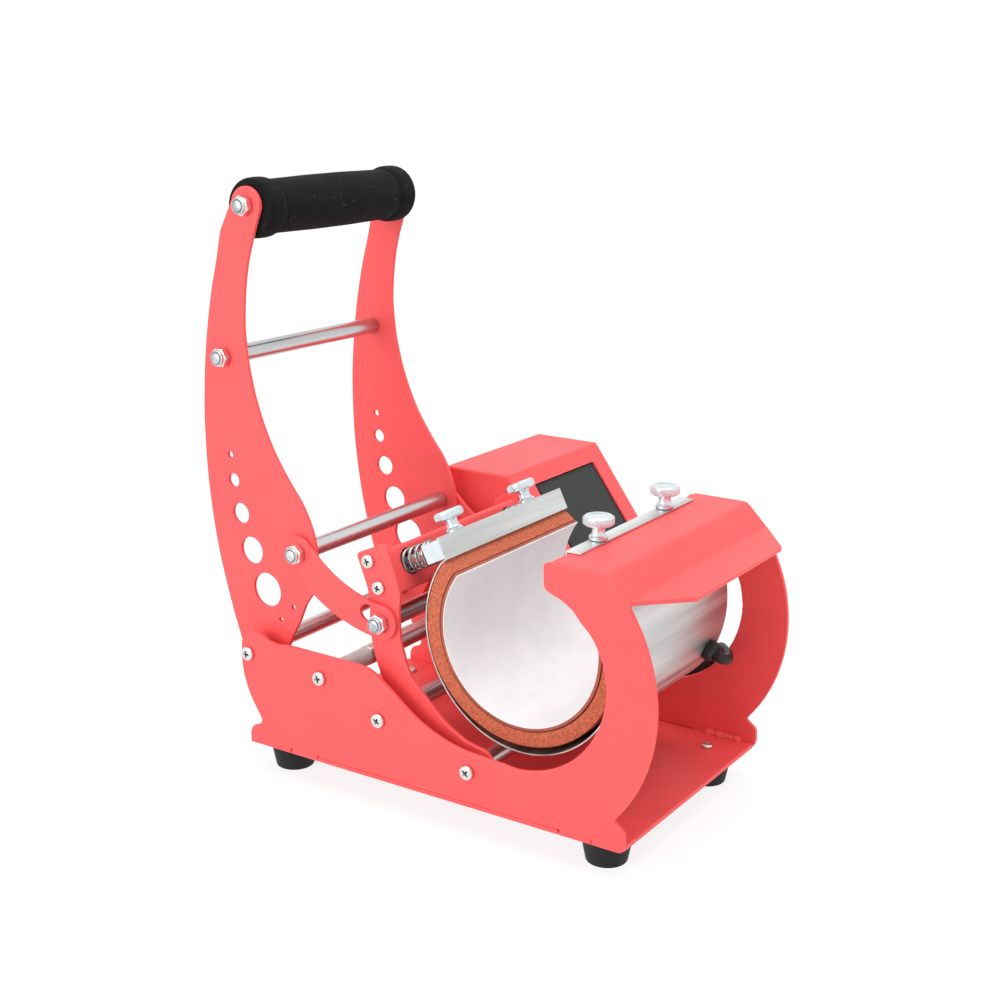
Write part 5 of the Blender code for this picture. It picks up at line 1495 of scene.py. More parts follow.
@dataclass
class Handle:
    """Curved arms, grip and the rods between the arms."""

    cap_radius: float = 0.0102
    rod_radius: float = 0.0050
    pin_end: float = 0.0753
    link_pin_end: float = 0.0782
    grip_half: float = 0.0652
    grip_radii: Triple = (0.0146, 0.0153, 0.0164)
    grip_flare: float = 0.0135
    grip_bore: float = 0.0057
    grip_rod: float = 0.0035
    grip_drop: float = 0.0019
    rear_share: tuple[Pair, ...] = (
        (0.4491, 1.1772), (0.4652, 1.1104), (0.4836, 1.0428), (0.4980, 0.9744), (0.5092, 0.9056),
        (0.5168, 0.8360), (0.5216, 0.7656), (0.5220, 0.6956), (0.5196, 0.6248), (0.5132, 0.5540),
        (0.5032, 0.4836), (0.4892, 0.4128), (0.4608, 0.3076), (0.4376, 0.2380), (0.4200, 0.1820),
        (0.3760, 0.1624), (0.3280, 0.1820), (0.2960, 0.2320), (0.2768, 0.2712), (0.2544, 0.3120),
        (0.2364, 0.3516), (0.2116, 0.3860))
    front_share: tuple[Pair, ...] = (
        (0.2000, 0.4640), (0.2044, 0.4980), (0.2136, 0.5312), (0.2280, 0.5636), (0.2472, 0.5952),
        (0.2720, 0.6260), (0.3152, 0.6888), (0.3468, 0.7532), (0.3696, 0.8180), (0.3844, 0.8844),
        (0.3916, 0.9508), (0.3916, 0.9840), (0.3860, 1.0504), (0.3728, 1.1168), (0.3504, 1.1828))
    hole_share: tuple[Triple, ...] = (
        (0.4476, 0.6716, 0.0080), (0.4400, 0.6128, 0.0160), (0.4224, 0.5372, 0.0240),
        (0.3932, 0.4536, 0.0320), (0.3508, 0.3664, 0.0400), (0.2736, 0.3392, 0.0060),
        (0.3120, 0.3020, 0.0060))

    def arms(self, bench: Bench) -> None:
        """Make both arms with their round lightening holes."""
        rear = smooth_line(LAYOUT.outline(self.rear_share), 6)
        front = smooth_line(LAYOUT.outline(self.front_share), 6)
        cap = arc(LAYOUT.grip_axis, self.cap_radius, math.pi + math.pi / 12, math.pi / 13, 36)
        rings = [front + cap + rear, circle(LAYOUT.handle_pivot, LAYOUT.pivot_hole)]
        rings += [circle(axis, LAYOUT.stud_hole, 28)
                  for axis in (LAYOUT.link_pin, LAYOUT.spreader_axis, LAYOUT.grip_axis)]
        rings += [circle((y, z), radius, max(20, int(radius * 6000)))
                  for y, z, radius in LAYOUT.outline(self.hole_share)]
        bench.sheets("curved_arm_", rings, LAYOUT.arm_planes, "handle", "handle_arm_")

    def grip(self, bench: Bench) -> None:
        """Make the foam grip with its flared ends."""
        waist, middle, flare_radius = self.grip_radii
        flare = self.grip_half - self.grip_flare
        right = [(self.grip_bore, self.grip_half), (flare_radius - 0.0030, self.grip_half),
                 (flare_radius - 0.0007, self.grip_half - 0.0009), (flare_radius, self.grip_half - 0.0036),
                 (flare_radius, flare + 0.0034), (flare_radius - 0.0008, flare + 0.0008),
                 (waist, flare - 0.0006), (waist + 0.0002, flare - 0.0040), (middle - 0.0003, flare * 0.62),
                 (middle, flare * 0.30)]
        soft = smooth_line(right[1:], 5)
        profile = [right[0]] + soft + [(r, -h) for r, h in reversed(soft)] + [(right[0][0], -right[0][1])]
        axis = Vector((0, *LAYOUT.grip_axis)) - Vector((0, 0, self.grip_drop))
        shape = lathe(profile, axis, ALONG_X, 96, True)
        foam = bench.piece("foam_grip_sleeve", shape, Palette.foam, "handle", ["foam_grip"])

    def build(self, bench: Bench) -> None:
        """Make the arms, rods and grip."""
        self.arms(bench)
        rods = (("grip_rod", LAYOUT.grip_axis, self.pin_end, self.grip_rod),
                ("spreader_rod", LAYOUT.spreader_axis, self.pin_end, self.rod_radius),
                ("link_rod", LAYOUT.link_pin, self.link_pin_end, self.rod_radius))
        for name, axis, end, radius in rods:
            rod = stepped_pin(axis, end, radius=radius)
            bench.piece("drawn_" + name, rod, Palette.bright, "handle", [name])
        self.grip(bench)


@dataclass
class Links:
    """The two curved links between the handle and the swing frame."""

    half_width: float = 0.0097
    sag: float = 0.0063
    slot_radius: float = 0.0049
    slot_length: float = 0.0101
    slot_offset: float = 0.0007

    def outline(self) -> Ring:
        """Return the outline of a curved link."""
        start, end = Vector(LAYOUT.swing_pin), Vector(LAYOUT.link_pin)
        chord = end - start
        down = Vector((chord.y, -chord.x)).normalized()
        radius = (chord.length ** 2 / 4 + self.sag ** 2) / (2 * self.sag)
        centre = (start + end) / 2 + down * (self.sag - radius)
        first, last = angle_at(centre, start), angle_at(centre, end)
        low = arc(centre, radius + self.half_width, first, last, 36)
        high = arc(centre, radius - self.half_width, last, first, 36)
        end_cap = arc(end, self.half_width, last, last + math.pi, 32)
        start_cap = arc(start, self.half_width, first + math.pi, first + math.tau, 32)
        return low[:-1] + end_cap[:-1] + high[:-1] + start_cap[:-1]

    def slot(self) -> Ring:
        """Return the clearance slot around the swing pin."""
        start = Vector(LAYOUT.swing_pin)
        along = (Vector(LAYOUT.link_pin) - start).normalized()
        near = start + Vector((along.y, -along.x)) * self.slot_offset
        down, up = (math.atan2(along.y, along.x) + turn for turn in (-math.pi / 2, math.pi / 2))
        far_cap = arc(near + along * self.slot_length, self.slot_radius, down, up, 18)
        return far_cap + arc(near, self.slot_radius, up, down + math.tau, 18)

    def build(self, bench: Bench) -> None:
        """Make both links."""
        rings = [self.outline(), circle(LAYOUT.link_pin, LAYOUT.stud_hole, 28), self.slot()]
        bench.sheets("curved_link_", rings, LAYOUT.link_planes, "links", "link_")


@dataclass
class SwingFrame:
    """Swing arms, crossbar tube and the pin that the links push."""

    end_radius: float = 0.0095
    crossbar_half: float = 0.0657
    crossbar_bends: Pair = (0.0022, 0.0010)
    crossbar_edge: float = 0.0003
    spring_hole: float = 0.0076
    guide_hole: float = 0.0034
    pin_end: float = 0.0782
    front_share: tuple[Pair, ...] = (
        (-0.0125, 0.4802), (-0.0288, 0.4280), (-0.0256, 0.3840), (-0.0280, 0.3304),
        (-0.0368, 0.2916), (-0.0556, 0.2460), (-0.0916, 0.2072), (-0.1456, 0.1580), (-0.1996, 0.1276))
    rear_share: tuple[Pair, ...] = (
        (-0.1800, 0.0488), (-0.1080, 0.0760), (-0.0520, 0.1144), (-0.0232, 0.1536), (0.0136, 0.2076),
        (0.0320, 0.2468), (0.0408, 0.2748), (0.0500, 0.3108), (0.0536, 0.3600), (0.0548, 0.4108),
        (0.0751, 0.4689))
    corner_share: tuple[Pair, ...] = ((0.0886, 0.5010), (0.0090, 0.5353))
    corner_radius: float = 0.0030

    def arms(self, bench: Bench) -> None:
        """Make both swing arms."""
        front = smooth_line(LAYOUT.outline(self.front_share), 6)
        rear = smooth_line(LAYOUT.outline(self.rear_share), 6)
        cap = arc(LAYOUT.swing_pivot, self.end_radius, math.pi / 2, math.pi * 3 / 2, 30)
        corners = [rear[-1], *LAYOUT.outline(self.corner_share), front[0]]
        top = fillet(corners, self.corner_radius, False)[1:-1]
        rings = [front + cap + rear + top, circle(LAYOUT.swing_pivot, LAYOUT.pivot_hole),
                 circle(LAYOUT.swing_pin, LAYOUT.stud_hole, 28)]
        bench.sheets("swing_arm_sheet_", rings, LAYOUT.arm_planes, "swing", "swing_arm_")

    def crossbar(self, bench: Bench) -> None:
        """Make the crossbar tube, bored for the springs and their guides."""
        depth, height = LAYOUT.crossbar_size
        wall, forward = LAYOUT.crossbar_wall, LAYOUT.forward
        centre = Vector((0, *LAYOUT.crossbar_centre))
        outer = fillet(centred(0, 0, depth / 2, height / 2), self.crossbar_bends[0], True, 6)
        inner = fillet(centred(0, 0, depth / 2 - wall, height / 2 - wall), self.crossbar_bends[1])
        half = self.crossbar_half
        shape = prism([outer, inner], -half, half, self.crossbar_edge, LAYOUT.clamp_axes(), centre)
        tube = bench.mesh("crossbar_tube", shape, Palette.red)
        cutters = []
        rear_face = Vector((0, *LAYOUT.bar_centre)) - forward * LAYOUT.bar_depth / 2
        reach = (rear_face - centre).dot(forward)
        for x in (-LAYOUT.spring_x, LAYOUT.spring_x):
            for start, radius in ((0.0, self.spring_hole), (-depth, self.guide_hole)):
                at = rear_face + ALONG_X * x + forward * (start - reach)
                cutters.append(plug(at, forward, radius, depth, 48))
        bench.carve(tube, cutters)
        bench.settle(tube, "swing", ["crossbar"])

    def build(self, bench: Bench) -> None:
        """Make the arms, the crossbar and the pin."""
        self.arms(bench)
        self.crossbar(bench)
        pin = stepped_pin(LAYOUT.swing_pin, self.pin_end)
        bench.piece("drawn_swing_rod", pin, Palette.bright, "swing", ["swing_rod"])


def stepped_pin(axis: Pair, end: float, stud: float = 0.0030, radius: float = 0.0050) -> Shape:
    """Return a rod whose threaded ends pass through the arms.

    Args:
        axis: Place of the rod's middle line, as (y, z).
        end: Distance from the middle of the press to the rod's end.
        stud: Radius of the threaded ends.
        radius: Radius of the rod.

    Returns:
        The closed solid.
    """
    shoulder = LAYOUT.arm_planes[0] - LAYOUT.gap
    edge, depth, pitch, turns = LAYOUT.rim, 0.00022, 0.0008, 8
    right = [(0, end), (stud - edge, end)]
    for turn in range(turns):
        right += [(stud, end - edge - pitch * turn), (stud - depth, end - edge - pitch * (turn + 0.5))]
    right += [(stud, end - edge - pitch * turns), (stud, shoulder), (radius - edge, shoulder),
              (radius, shoulder - edge)]
    return lathe(mirrored(right), (0, *axis), ALONG_X, 48)


def frustum(low: float, high: float, low_half: Pair, high_half: Pair) -> Shape:
    """Return a four-sided block round the Z axis.

    Args:
        low: Height of its foot.
        high: Height of its top.
        low_half: Half widths of its foot.
        high_half: Half widths of its top.

    Returns:
        The closed solid.
    """
    verts = [(u, v, low) for u, v in centred(0, 0, *low_half)]
    verts += [(u, v, high) for u, v in centred(0, 0, *high_half)]
    faces = [(3, 2, 1, 0), (4, 5, 6, 7), (0, 1, 5, 4), (1, 2, 6, 5), (2, 3, 7, 6), (3, 0, 4, 7)]
    return Shape().add(verts, faces)


@dataclass
class SlidingClamp:
    """Clamp bar on its guides, its springs and the thumb screws."""

    bar_half: float = 0.0612
    bar_height: float = 0.0110
    bar_edge: float = 0.0005
    guide_radius: float = 0.0030
    guide_tail: float = 0.0040
    wire_radius: float = 0.00088
    mean_radius: float = 0.0062
    turns: int = 8
    turn_steps: int = 28
    rise: float = 0.0014
    travel: float = 0.0060
    thumb_hole: float = 0.0029
    thumb_depths: Pair = (0.0102, 0.0040)
    head: Pair = (0.00825, 0.0050)
    neck: Pair = (0.0034, 0.0056)
    collar: Pair = (0.0050, 0.0021)
    shank: float = 0.0025
    teeth: int = 44
    tooth: float = 0.00030
    tooth_sink: float = 0.00005

    def axis_point(self, x: float, distance: float) -> Vector:
        """Return a point on a guide's middle line, measured forward from the bar's rear face."""
        return Vector((x, *LAYOUT.bar_centre)) - LAYOUT.forward * (LAYOUT.bar_depth / 2 - distance)

    def reach(self) -> float:
        """Return the distance from the bar's rear face to the crossbar's rear face."""
        rear = self.axis_point(0, 0) - Vector((0, *LAYOUT.crossbar_centre))
        return rear.dot(LAYOUT.forward) + LAYOUT.crossbar_size[0] / 2

    def bar(self, bench: Bench) -> None:
        """Make the bar with its guides and thumb screw holes."""
        half, height, upward = self.bar_half, self.bar_height, LAYOUT.upward
        ring = fillet(centred(0, 0, LAYOUT.bar_depth / 2, height / 2), self.bar_edge, True, 3)
        centre = Vector((0, *LAYOUT.bar_centre))
        block = prism([ring], -half, half, facing=LAYOUT.clamp_axes(), at=centre)
        bar = bench.mesh("clamp_bar_block", block, Palette.zinc)
        foot = centre - upward * height
        bench.carve(bar, [plug(foot + ALONG_X * x, upward, self.thumb_hole, height * 2, 32)
                          for x in (-LAYOUT.thumb_x, LAYOUT.thumb_x)])
        bench.settle(bar, "clamp", ["clamp_bar"])
        length = self.reach() + self.guide_tail
        guides = Shape()
        for x in (-LAYOUT.spring_x, LAYOUT.spring_x):
            profile = [(0, 0), (self.guide_radius, 0), (self.guide_radius, length), (0, length)]
            profile = fillet(profile, self.bar_edge, False)
            guides.join(lathe(profile, self.axis_point(x, -length), LAYOUT.forward, 32))
        bench.piece("clamp_guides", guides, Palette.zinc, "clamp")

    def spring_line(self, x: float) -> list[Vector]:
        """Return the middle line of a spring with closed turns at both ends."""
        inset = self.wire_radius + LAYOUT.gap
        start = -self.reach() + LAYOUT.crossbar_wall + inset
        length = -inset - start
        pitch = (length - self.rise * 4) / (self.turns - 2)
        points = []
        for i in range(self.turns * self.turn_steps + 1):
            turn = i / self.turn_steps
            height = self.rise * 2 + pitch * (turn - 1)
            if turn < 1:
                height = self.rise * 2 * turn
            elif turn > self.turns - 1:
                height = length - self.rise * 2 * (self.turns - turn)
            side = ALONG_X * math.sin(math.tau * turn) + LAYOUT.upward * math.cos(math.tau * turn)
            points.append(self.axis_point(x, start + height) + side * self.mean_radius)
        return points

    def springs(self, bench: Bench) -> None:
        """Make both springs."""
        free = self.reach() - LAYOUT.crossbar_wall
        for word, side in SIDES:
            x = side * LAYOUT.spring_x
            line = self.spring_line(x)
            spring = bench.wire("guide_spring_" + word, line, self.wire_radius, 10, Palette.spring)
            bench.settle(spring, "swing", ["clamp_spring_" + word])
            anchor = bench.world(self.axis_point(x, -free))
            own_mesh(spring)

    def thumb_screw(self, bench: Bench, name: str, base: Vector, facing: Vector, depth: float, body: str,
                    node: str) -> None:
        """Make one knurled thumb screw.

        Args:
            bench: Makes the piece.
            name: The piece's name.
            base: Where the collar stands.
            facing: The screw's direction.
            depth: Length of the shank below the base.
            body: The body that it rides on.
            node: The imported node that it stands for.
        """
        (head, head_height), (neck, neck_height), (collar, collar_height) = self.head, self.neck, self.collar
        foot, low = LAYOUT.gap, LAYOUT.gap + collar_height
        high = low + neck_height
        top = high + head_height
        shank, rim = self.shank, head - self.tooth
        line = [(0, -depth), (shank - 0.0004, -depth), (shank, -depth + 0.0004), (shank, foot),
                (collar - 0.0003, foot), (collar, foot + 0.0003), (collar, low - 0.0004), (collar - 0.0005, low),
                (neck + 0.0008, low + 0.0003), (neck, low + 0.0012), (neck, high - 0.0012),
                (neck + 0.0007, high - 0.0002), (rim - 0.0009, high), (rim, high + 0.0008), (rim, top - 0.0008),
                (rim - 0.0009, top), (rim * 0.62, top), (rim * 0.58, top - 0.0003), (0, top - 0.0003)]
        screw = bench.mesh(name, lathe(line, base, facing, 64), Palette.zinc)
        screw.modifiers.clear()
        centre = bench.world(base + facing * (high + head_height / 2))
        Knurl().bake(screw, Teeth=self.teeth, Radius=rim - self.tooth_sink,
                     Tooth_Radius=self.tooth + self.tooth_sink, Tooth_Height=head_height - 0.0018,
                     Centre=tuple(centre), Facing=tuple(facing), Material=Palette.zinc.material())
        screw.modifiers.new("face_weighted", "WEIGHTED_NORMAL").keep_sharp = True
        bench.settle(screw, body, [node])

    def build(self, bench: Bench) -> None:
        """Make the bar, springs and all four thumb screws."""
        self.bar(bench)
        self.springs(bench)
        top = Vector((0, *LAYOUT.bar_centre)) + LAYOUT.upward * self.bar_height / 2
        flange = LAYOUT.hood_top + LAYOUT.gap + LAYOUT.wrap_sheet
        rear_depth, front_depth = self.thumb_depths
        for word, side in SIDES:
            out = ALONG_X * side * LAYOUT.thumb_x
            front = out + Vector((0, LAYOUT.thumb_y, flange))
            self.thumb_screw(bench, "knurled_rear_screw_" + word, top + out, LAYOUT.upward, rear_depth,
                             "rear_screw_" + word, "rear_thumb_screw_" + word)
            self.thumb_screw(bench, "knurled_front_screw_" + word, front, ALONG_Z, front_depth,
                             "front_screw_" + word, "front_thumb_screw_" + word)


@dataclass
class HeaterWrap:
    """Heating mat, sponge and sheet shell.

    Each of the three layers is an inner radius, an outer radius and the radius of its rims.
    """

    half: float = 0.0620
    liner: Triple = (0.0476, 0.04815, 0.0001)
    mat: Triple = (0.0482, 0.0498, 0.0003)
    sponge: Triple = (0.0503, 0.0587, 0.0008)
    shell_edge: float = 0.00015
    shell_inner: float = 0.0589
    rear_angle: float = 0.6283
    shell_rear_angle: float = 0.5934
    front_angle: float = -4.0491
    rear_foot: Pair = (-0.0331, 0.1294)
    rear_top: Pair = (-0.0276, 0.1405)
    riser: Pair = (-0.1076, 0.1430)
    flange_front: float = -0.1160
    slot_radius: float = 0.0036
    slot_depth: float = 0.0030
    steps: int = 110

    def layer(self, bench: Bench, name: str, ring: Ring, edge: float, finish: Finish,
              nodes: Iterable[str] = (), holes: Sequence[Shape] = ()) -> None:
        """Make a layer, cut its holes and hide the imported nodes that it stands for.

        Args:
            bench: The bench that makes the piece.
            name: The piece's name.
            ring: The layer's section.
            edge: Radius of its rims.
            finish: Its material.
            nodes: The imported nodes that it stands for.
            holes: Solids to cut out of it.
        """
        piece = bench.mesh(name, prism([ring], -self.half, self.half, edge, ladder=True), finish)
        if holes:
            bench.carve(piece, holes)
        level = LAYOUT.wrap_centre[1]
        start = bench.world((0, self.riser[0] + LAYOUT.wrap_sheet, level))
        end = bench.world((0, self.rear_foot[0], level))
        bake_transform(piece)
        if nodes:
            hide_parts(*nodes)
        log.info("piece %s bends between frame and swing", piece.name)

    def ring(self, inner: float, outer: float) -> Ring:
        """Return the section of one open layer."""
        outside = arc(LAYOUT.wrap_centre, outer, self.front_angle, self.rear_angle, self.steps)
        return outside + arc(LAYOUT.wrap_centre, inner, self.rear_angle, self.front_angle, self.steps)

    def shell_line(self) -> Ring:
        """Return the shell's middle line from its front flange to its rear flange."""
        base = self.shell_inner + LAYOUT.wrap_sheet / 2
        flange_z = LAYOUT.hood_top + LAYOUT.gap + LAYOUT.wrap_sheet / 2
        y, z = LAYOUT.wrap_centre
        line = [(self.flange_front, flange_z), (self.riser[0], flange_z), self.riser]
        for i in range(self.steps + 1):
            angle = self.front_angle + (self.shell_rear_angle - self.front_angle) * i / self.steps
            radius = LAYOUT.sagged(base, angle)
            line.append((y + radius * math.cos(angle), z + radius * math.sin(angle)))
        return line + [self.rear_foot, self.rear_top]

    def build(self, bench: Bench) -> None:
        """Make the three layers and the shell."""
        for name, (inner, outer, edge), finish, nodes in (
                ("heating_mat_face", self.liner, Palette.liner, ["heater_liner"]),
                ("heating_mat_back", self.mat, Palette.mat, []),
                ("sponge_layer", self.sponge, Palette.sponge, ["heater_sponge"])):
            self.layer(bench, name, self.ring(inner, outer), edge, finish, nodes)
        line, sheet = self.shell_line(), LAYOUT.wrap_sheet
        ring = offset_line(line, sheet / 2) + list(reversed(offset_line(line, -sheet / 2)))
        y, z = LAYOUT.thumb_y, LAYOUT.hood_top - sheet
        holes = [plug((x, y, z), ALONG_Z, self.slot_radius, self.slot_depth, 32)
                 for x in (-LAYOUT.thumb_x, LAYOUT.thumb_x)]
        self.layer(bench, "wrap_shell_sheet", ring, self.shell_edge, Palette.band, ["heater_shell"], holes)


@dataclass
class ControlBox:
    """Folded housing with its panel, cover, power inlet and rocker."""

    left: float = 0.0793
    right: float = 0.1888
    rear: float = 0.0671
    top: float = 0.1371
    top_front: float = 0.0207
    front: float = -0.0446
    slant_low: float = 0.0473
    wall: float = 0.0015
    bend: float = 0.0020
    corner: float = 0.0012
    cut_edge: float = 0.0001
    bottom_corner: float = 0.0015
    inlet_corners: Triple = (0.0006, 0.0020, 0.0010)
    inlet_edge: float = 0.00005
    panel_x: Pair = (0.1008, 0.1735)
    panel_drop: float = 0.0113
    panel_height: float = 0.0880
    panel_thickness: float = 0.0020
    panel_recess: float = 0.0010
    inlet_x: float = 0.1560
    inlet_z: float = 0.0400
    inlet_size: Pair = (0.0300, 0.0480)
    flange: float = 0.0030
    body_inset: float = 0.0020
    inlet_depth: float = 0.0220
    socket_size: Pair = (0.0240, 0.0165)
    socket_depth: float = 0.0170
    socket_drop: float = 0.0120
    pin_size: Pair = (0.0020, 0.0040)
    pin_pitch: float = 0.0070
    pin_rise: float = 0.0040
    pin_length: float = 0.0105
    rocker_size: Pair = (0.0190, 0.0130)
    rocker_raise: float = 0.0120
    rocker_depth: float = 0.0080
    rocker_clearance: float = 0.0010
    rocker_tilt: float = 0.1396
    screw_hole: float = 0.0023

    def outline(self, inset: float) -> Ring:
        """Return the side outline with rounded bends, moved inwards by inset and open below."""
        corners = [(self.rear, 0), (self.rear, self.top), (self.top_front, self.top),
                   (self.front, self.slant_low), (self.front, 0)]
        if inset:
            corners = offset_line(corners, -inset)
            corners = [(corners[0][0], -inset * 4), *corners[1:-1], (corners[-1][0], -inset * 4)]
        return fillet(corners, self.bend, False, 6, 0.2)

    def slant(self) -> tuple[Matrix, Vector]:
        """Return the slanted face's directions and its top edge's point."""
        up = Vector((0, self.top_front - self.front, self.top - self.slant_low)).normalized()
        return Matrix((ALONG_X, up, ALONG_X.cross(up))).transposed(), Vector((0, self.top_front, self.top))

    def slab(self, margin: float, low: float, high: float, radius: float, edge: float) -> Shape:
        """Return a rounded slab in the slanted face.

        Args:
            margin: How far its sides stand inside the panel's opening.
            low: Depth of its back, counted outwards from the face.
            high: Depth of its front.
            radius: Radius of its corners.
            edge: Radius of its rims.

        Returns:
            The closed solid.
        """
        facing, base = self.slant()
        left, right = self.panel_x[0] + margin, self.panel_x[1] - margin
        near, far = -self.panel_drop - margin, -self.panel_drop - self.panel_height + margin
        ring = fillet(rectangle((left, far), (right, near)), radius)
        return prism([ring], low, high, edge, facing, base)

    def box(self, bench: Bench) -> None:
        """Make the housing and its bottom plate."""
        shape = prism([self.outline(0)], self.left, self.right, self.corner)
        box = bench.mesh("control_box_sheet", shape, Palette.red)
        hollow = prism([self.outline(self.wall)], self.left + self.wall, self.right - self.wall)
        cutters = [hollow, self.slab(0, -self.wall * 2, self.wall, self.corner, self.cut_edge)]
        half_width = self.inlet_size[0] / 2 - self.body_inset + LAYOUT.gap
        half_height = self.inlet_size[1] / 2 - self.body_inset + LAYOUT.gap
        window = centred(-self.inlet_x, self.inlet_z, half_width, half_height)
        cutters.append(prism([window], self.rear - self.wall * 2, self.rear + self.wall, self.cut_edge,
                             Facing.REAR.value))
        cutters += [plug((self.left - self.wall, *axis), ALONG_X, self.screw_hole, self.wall * 3, 20)
                    for axis in (LAYOUT.stop_axis, LAYOUT.spacer_axis)]
        bench.carve(box, cutters)
        bench.settle(box, "frame", ["control_box"])
        clear = self.wall + LAYOUT.gap
        plate = rectangle((self.left + clear, self.front + clear), (self.right - clear, self.rear - clear))
        bottom = prism([fillet(plate, self.bottom_corner)], 0, self.wall, 0.0003, Facing.PLAN.value)
        bench.piece("control_box_bottom", bottom, Palette.red, "frame", ["box_cover"])

    def panel(self, bench: Bench) -> None:
        """Make the blank panel with its raised border and film."""
        low = -self.panel_recess - self.panel_thickness
        shape = self.slab(LAYOUT.gap, low, -self.panel_recess, 0.0010, 0.0005)
        bench.piece("panel_plate", shape, Palette.rim, "frame", ["control_panel"])
        film = self.slab(0.0026, -self.panel_recess - 0.0002, -self.panel_recess + 0.0005, 0.0014, 0.0003)
        bench.piece("panel_film", film, Palette.panel, "frame")

    def socket_ring(self) -> Ring:
        """Return the socket's opening with its two cut corners."""
        w, h = self.socket_size[0] / 2, self.socket_size[1] / 2
        x, z = -self.inlet_x, self.inlet_z - self.socket_drop
        cut = h * 0.45
        ring = [(x - w, z - h), (x + w, z - h), (x + w, z + h - cut), (x + w - cut, z + h),
                (x - w + cut, z + h), (x - w, z + h - cut)]
        return fillet(ring, 0.0008, True, 4)

    def inlet(self, bench: Bench) -> None:
        """Make the inlet block, its pins and the rocker."""
        x, z = -self.inlet_x, self.inlet_z
        w, h = self.inlet_size[0] / 2, self.inlet_size[1] / 2
        face = self.rear + LAYOUT.gap
        back = face + self.flange
        floor = back - self.socket_depth
        rw = self.rocker_size[0] / 2 + self.rocker_clearance
        rh = self.rocker_size[1] / 2 + self.rocker_clearance
        rz = z + self.rocker_raise
        sizes = ((rz, rw, rh), (z, w, h), (z, w - self.body_inset, h - self.body_inset))
        window, outer, body = (fillet(centred(x, *size), corner)
                               for size, corner in zip(sizes, self.inlet_corners))
        holes = [self.socket_ring(), window]
        rear_facing, edge = Facing.REAR.value, self.inlet_edge
        shape = prism([outer] + holes, face, back, 0.0005, rear_facing)
        shape.join(prism([body] + holes, floor, face + 0.0002, edge, rear_facing))
        shape.join(prism([body], self.rear - self.inlet_depth, floor + 0.0001, edge, rear_facing))
        bench.piece("inlet_block", shape, Palette.plastic, "frame", ["power_inlet"])
        pins = Shape()
        pw, ph = self.pin_size[0] / 2, self.pin_size[1] / 2
        pin_z = z - self.socket_drop - self.pin_rise / 2
        for offset, rise in ((-self.pin_pitch, 0), (0, self.pin_rise), (self.pin_pitch, 0)):
            ring = fillet(centred(x + offset, pin_z + rise, pw, ph), 0.0003, True, 3)
            pins.join(prism([ring], floor, floor + self.pin_length, 0.0004, rear_facing))
        bench.piece("inlet_pins", pins, Palette.fastener, "frame")
        self.rocker(bench, back)

    def rocker(self, bench: Bench, face: float) -> None:
        """Make the rocker, stored tilted with its lower half proud."""
        pivot = Vector((face - self.rocker_depth / 2, self.inlet_z + self.rocker_raise))
        half, depth = self.rocker_size[1] / 2, self.rocker_depth / 2
        rise = half * math.tan(self.rocker_tilt)
        turn = Matrix.Rotation(self.rocker_tilt, 2)
        ring = [tuple(pivot + turn @ Vector(p)) for p in
                ((-depth, -half), (depth + rise, -half), (depth, 0), (depth + rise, half), (-depth, half))]
        half_width = self.rocker_size[0] / 2
        ring = fillet(ring, 0.0007, True, 4, 0.2)
        shape = prism([ring], self.inlet_x - half_width, self.inlet_x + half_width, 0.0005)
        bench.piece("switch_rocker", shape, Palette.gloss, "rocker", ["power_rocker"])

    def build(self, bench: Bench) -> None:
        """Make the housing, panel, inlet and rocker."""
        self.box(bench)
        self.panel(bench)
        self.inlet(bench)


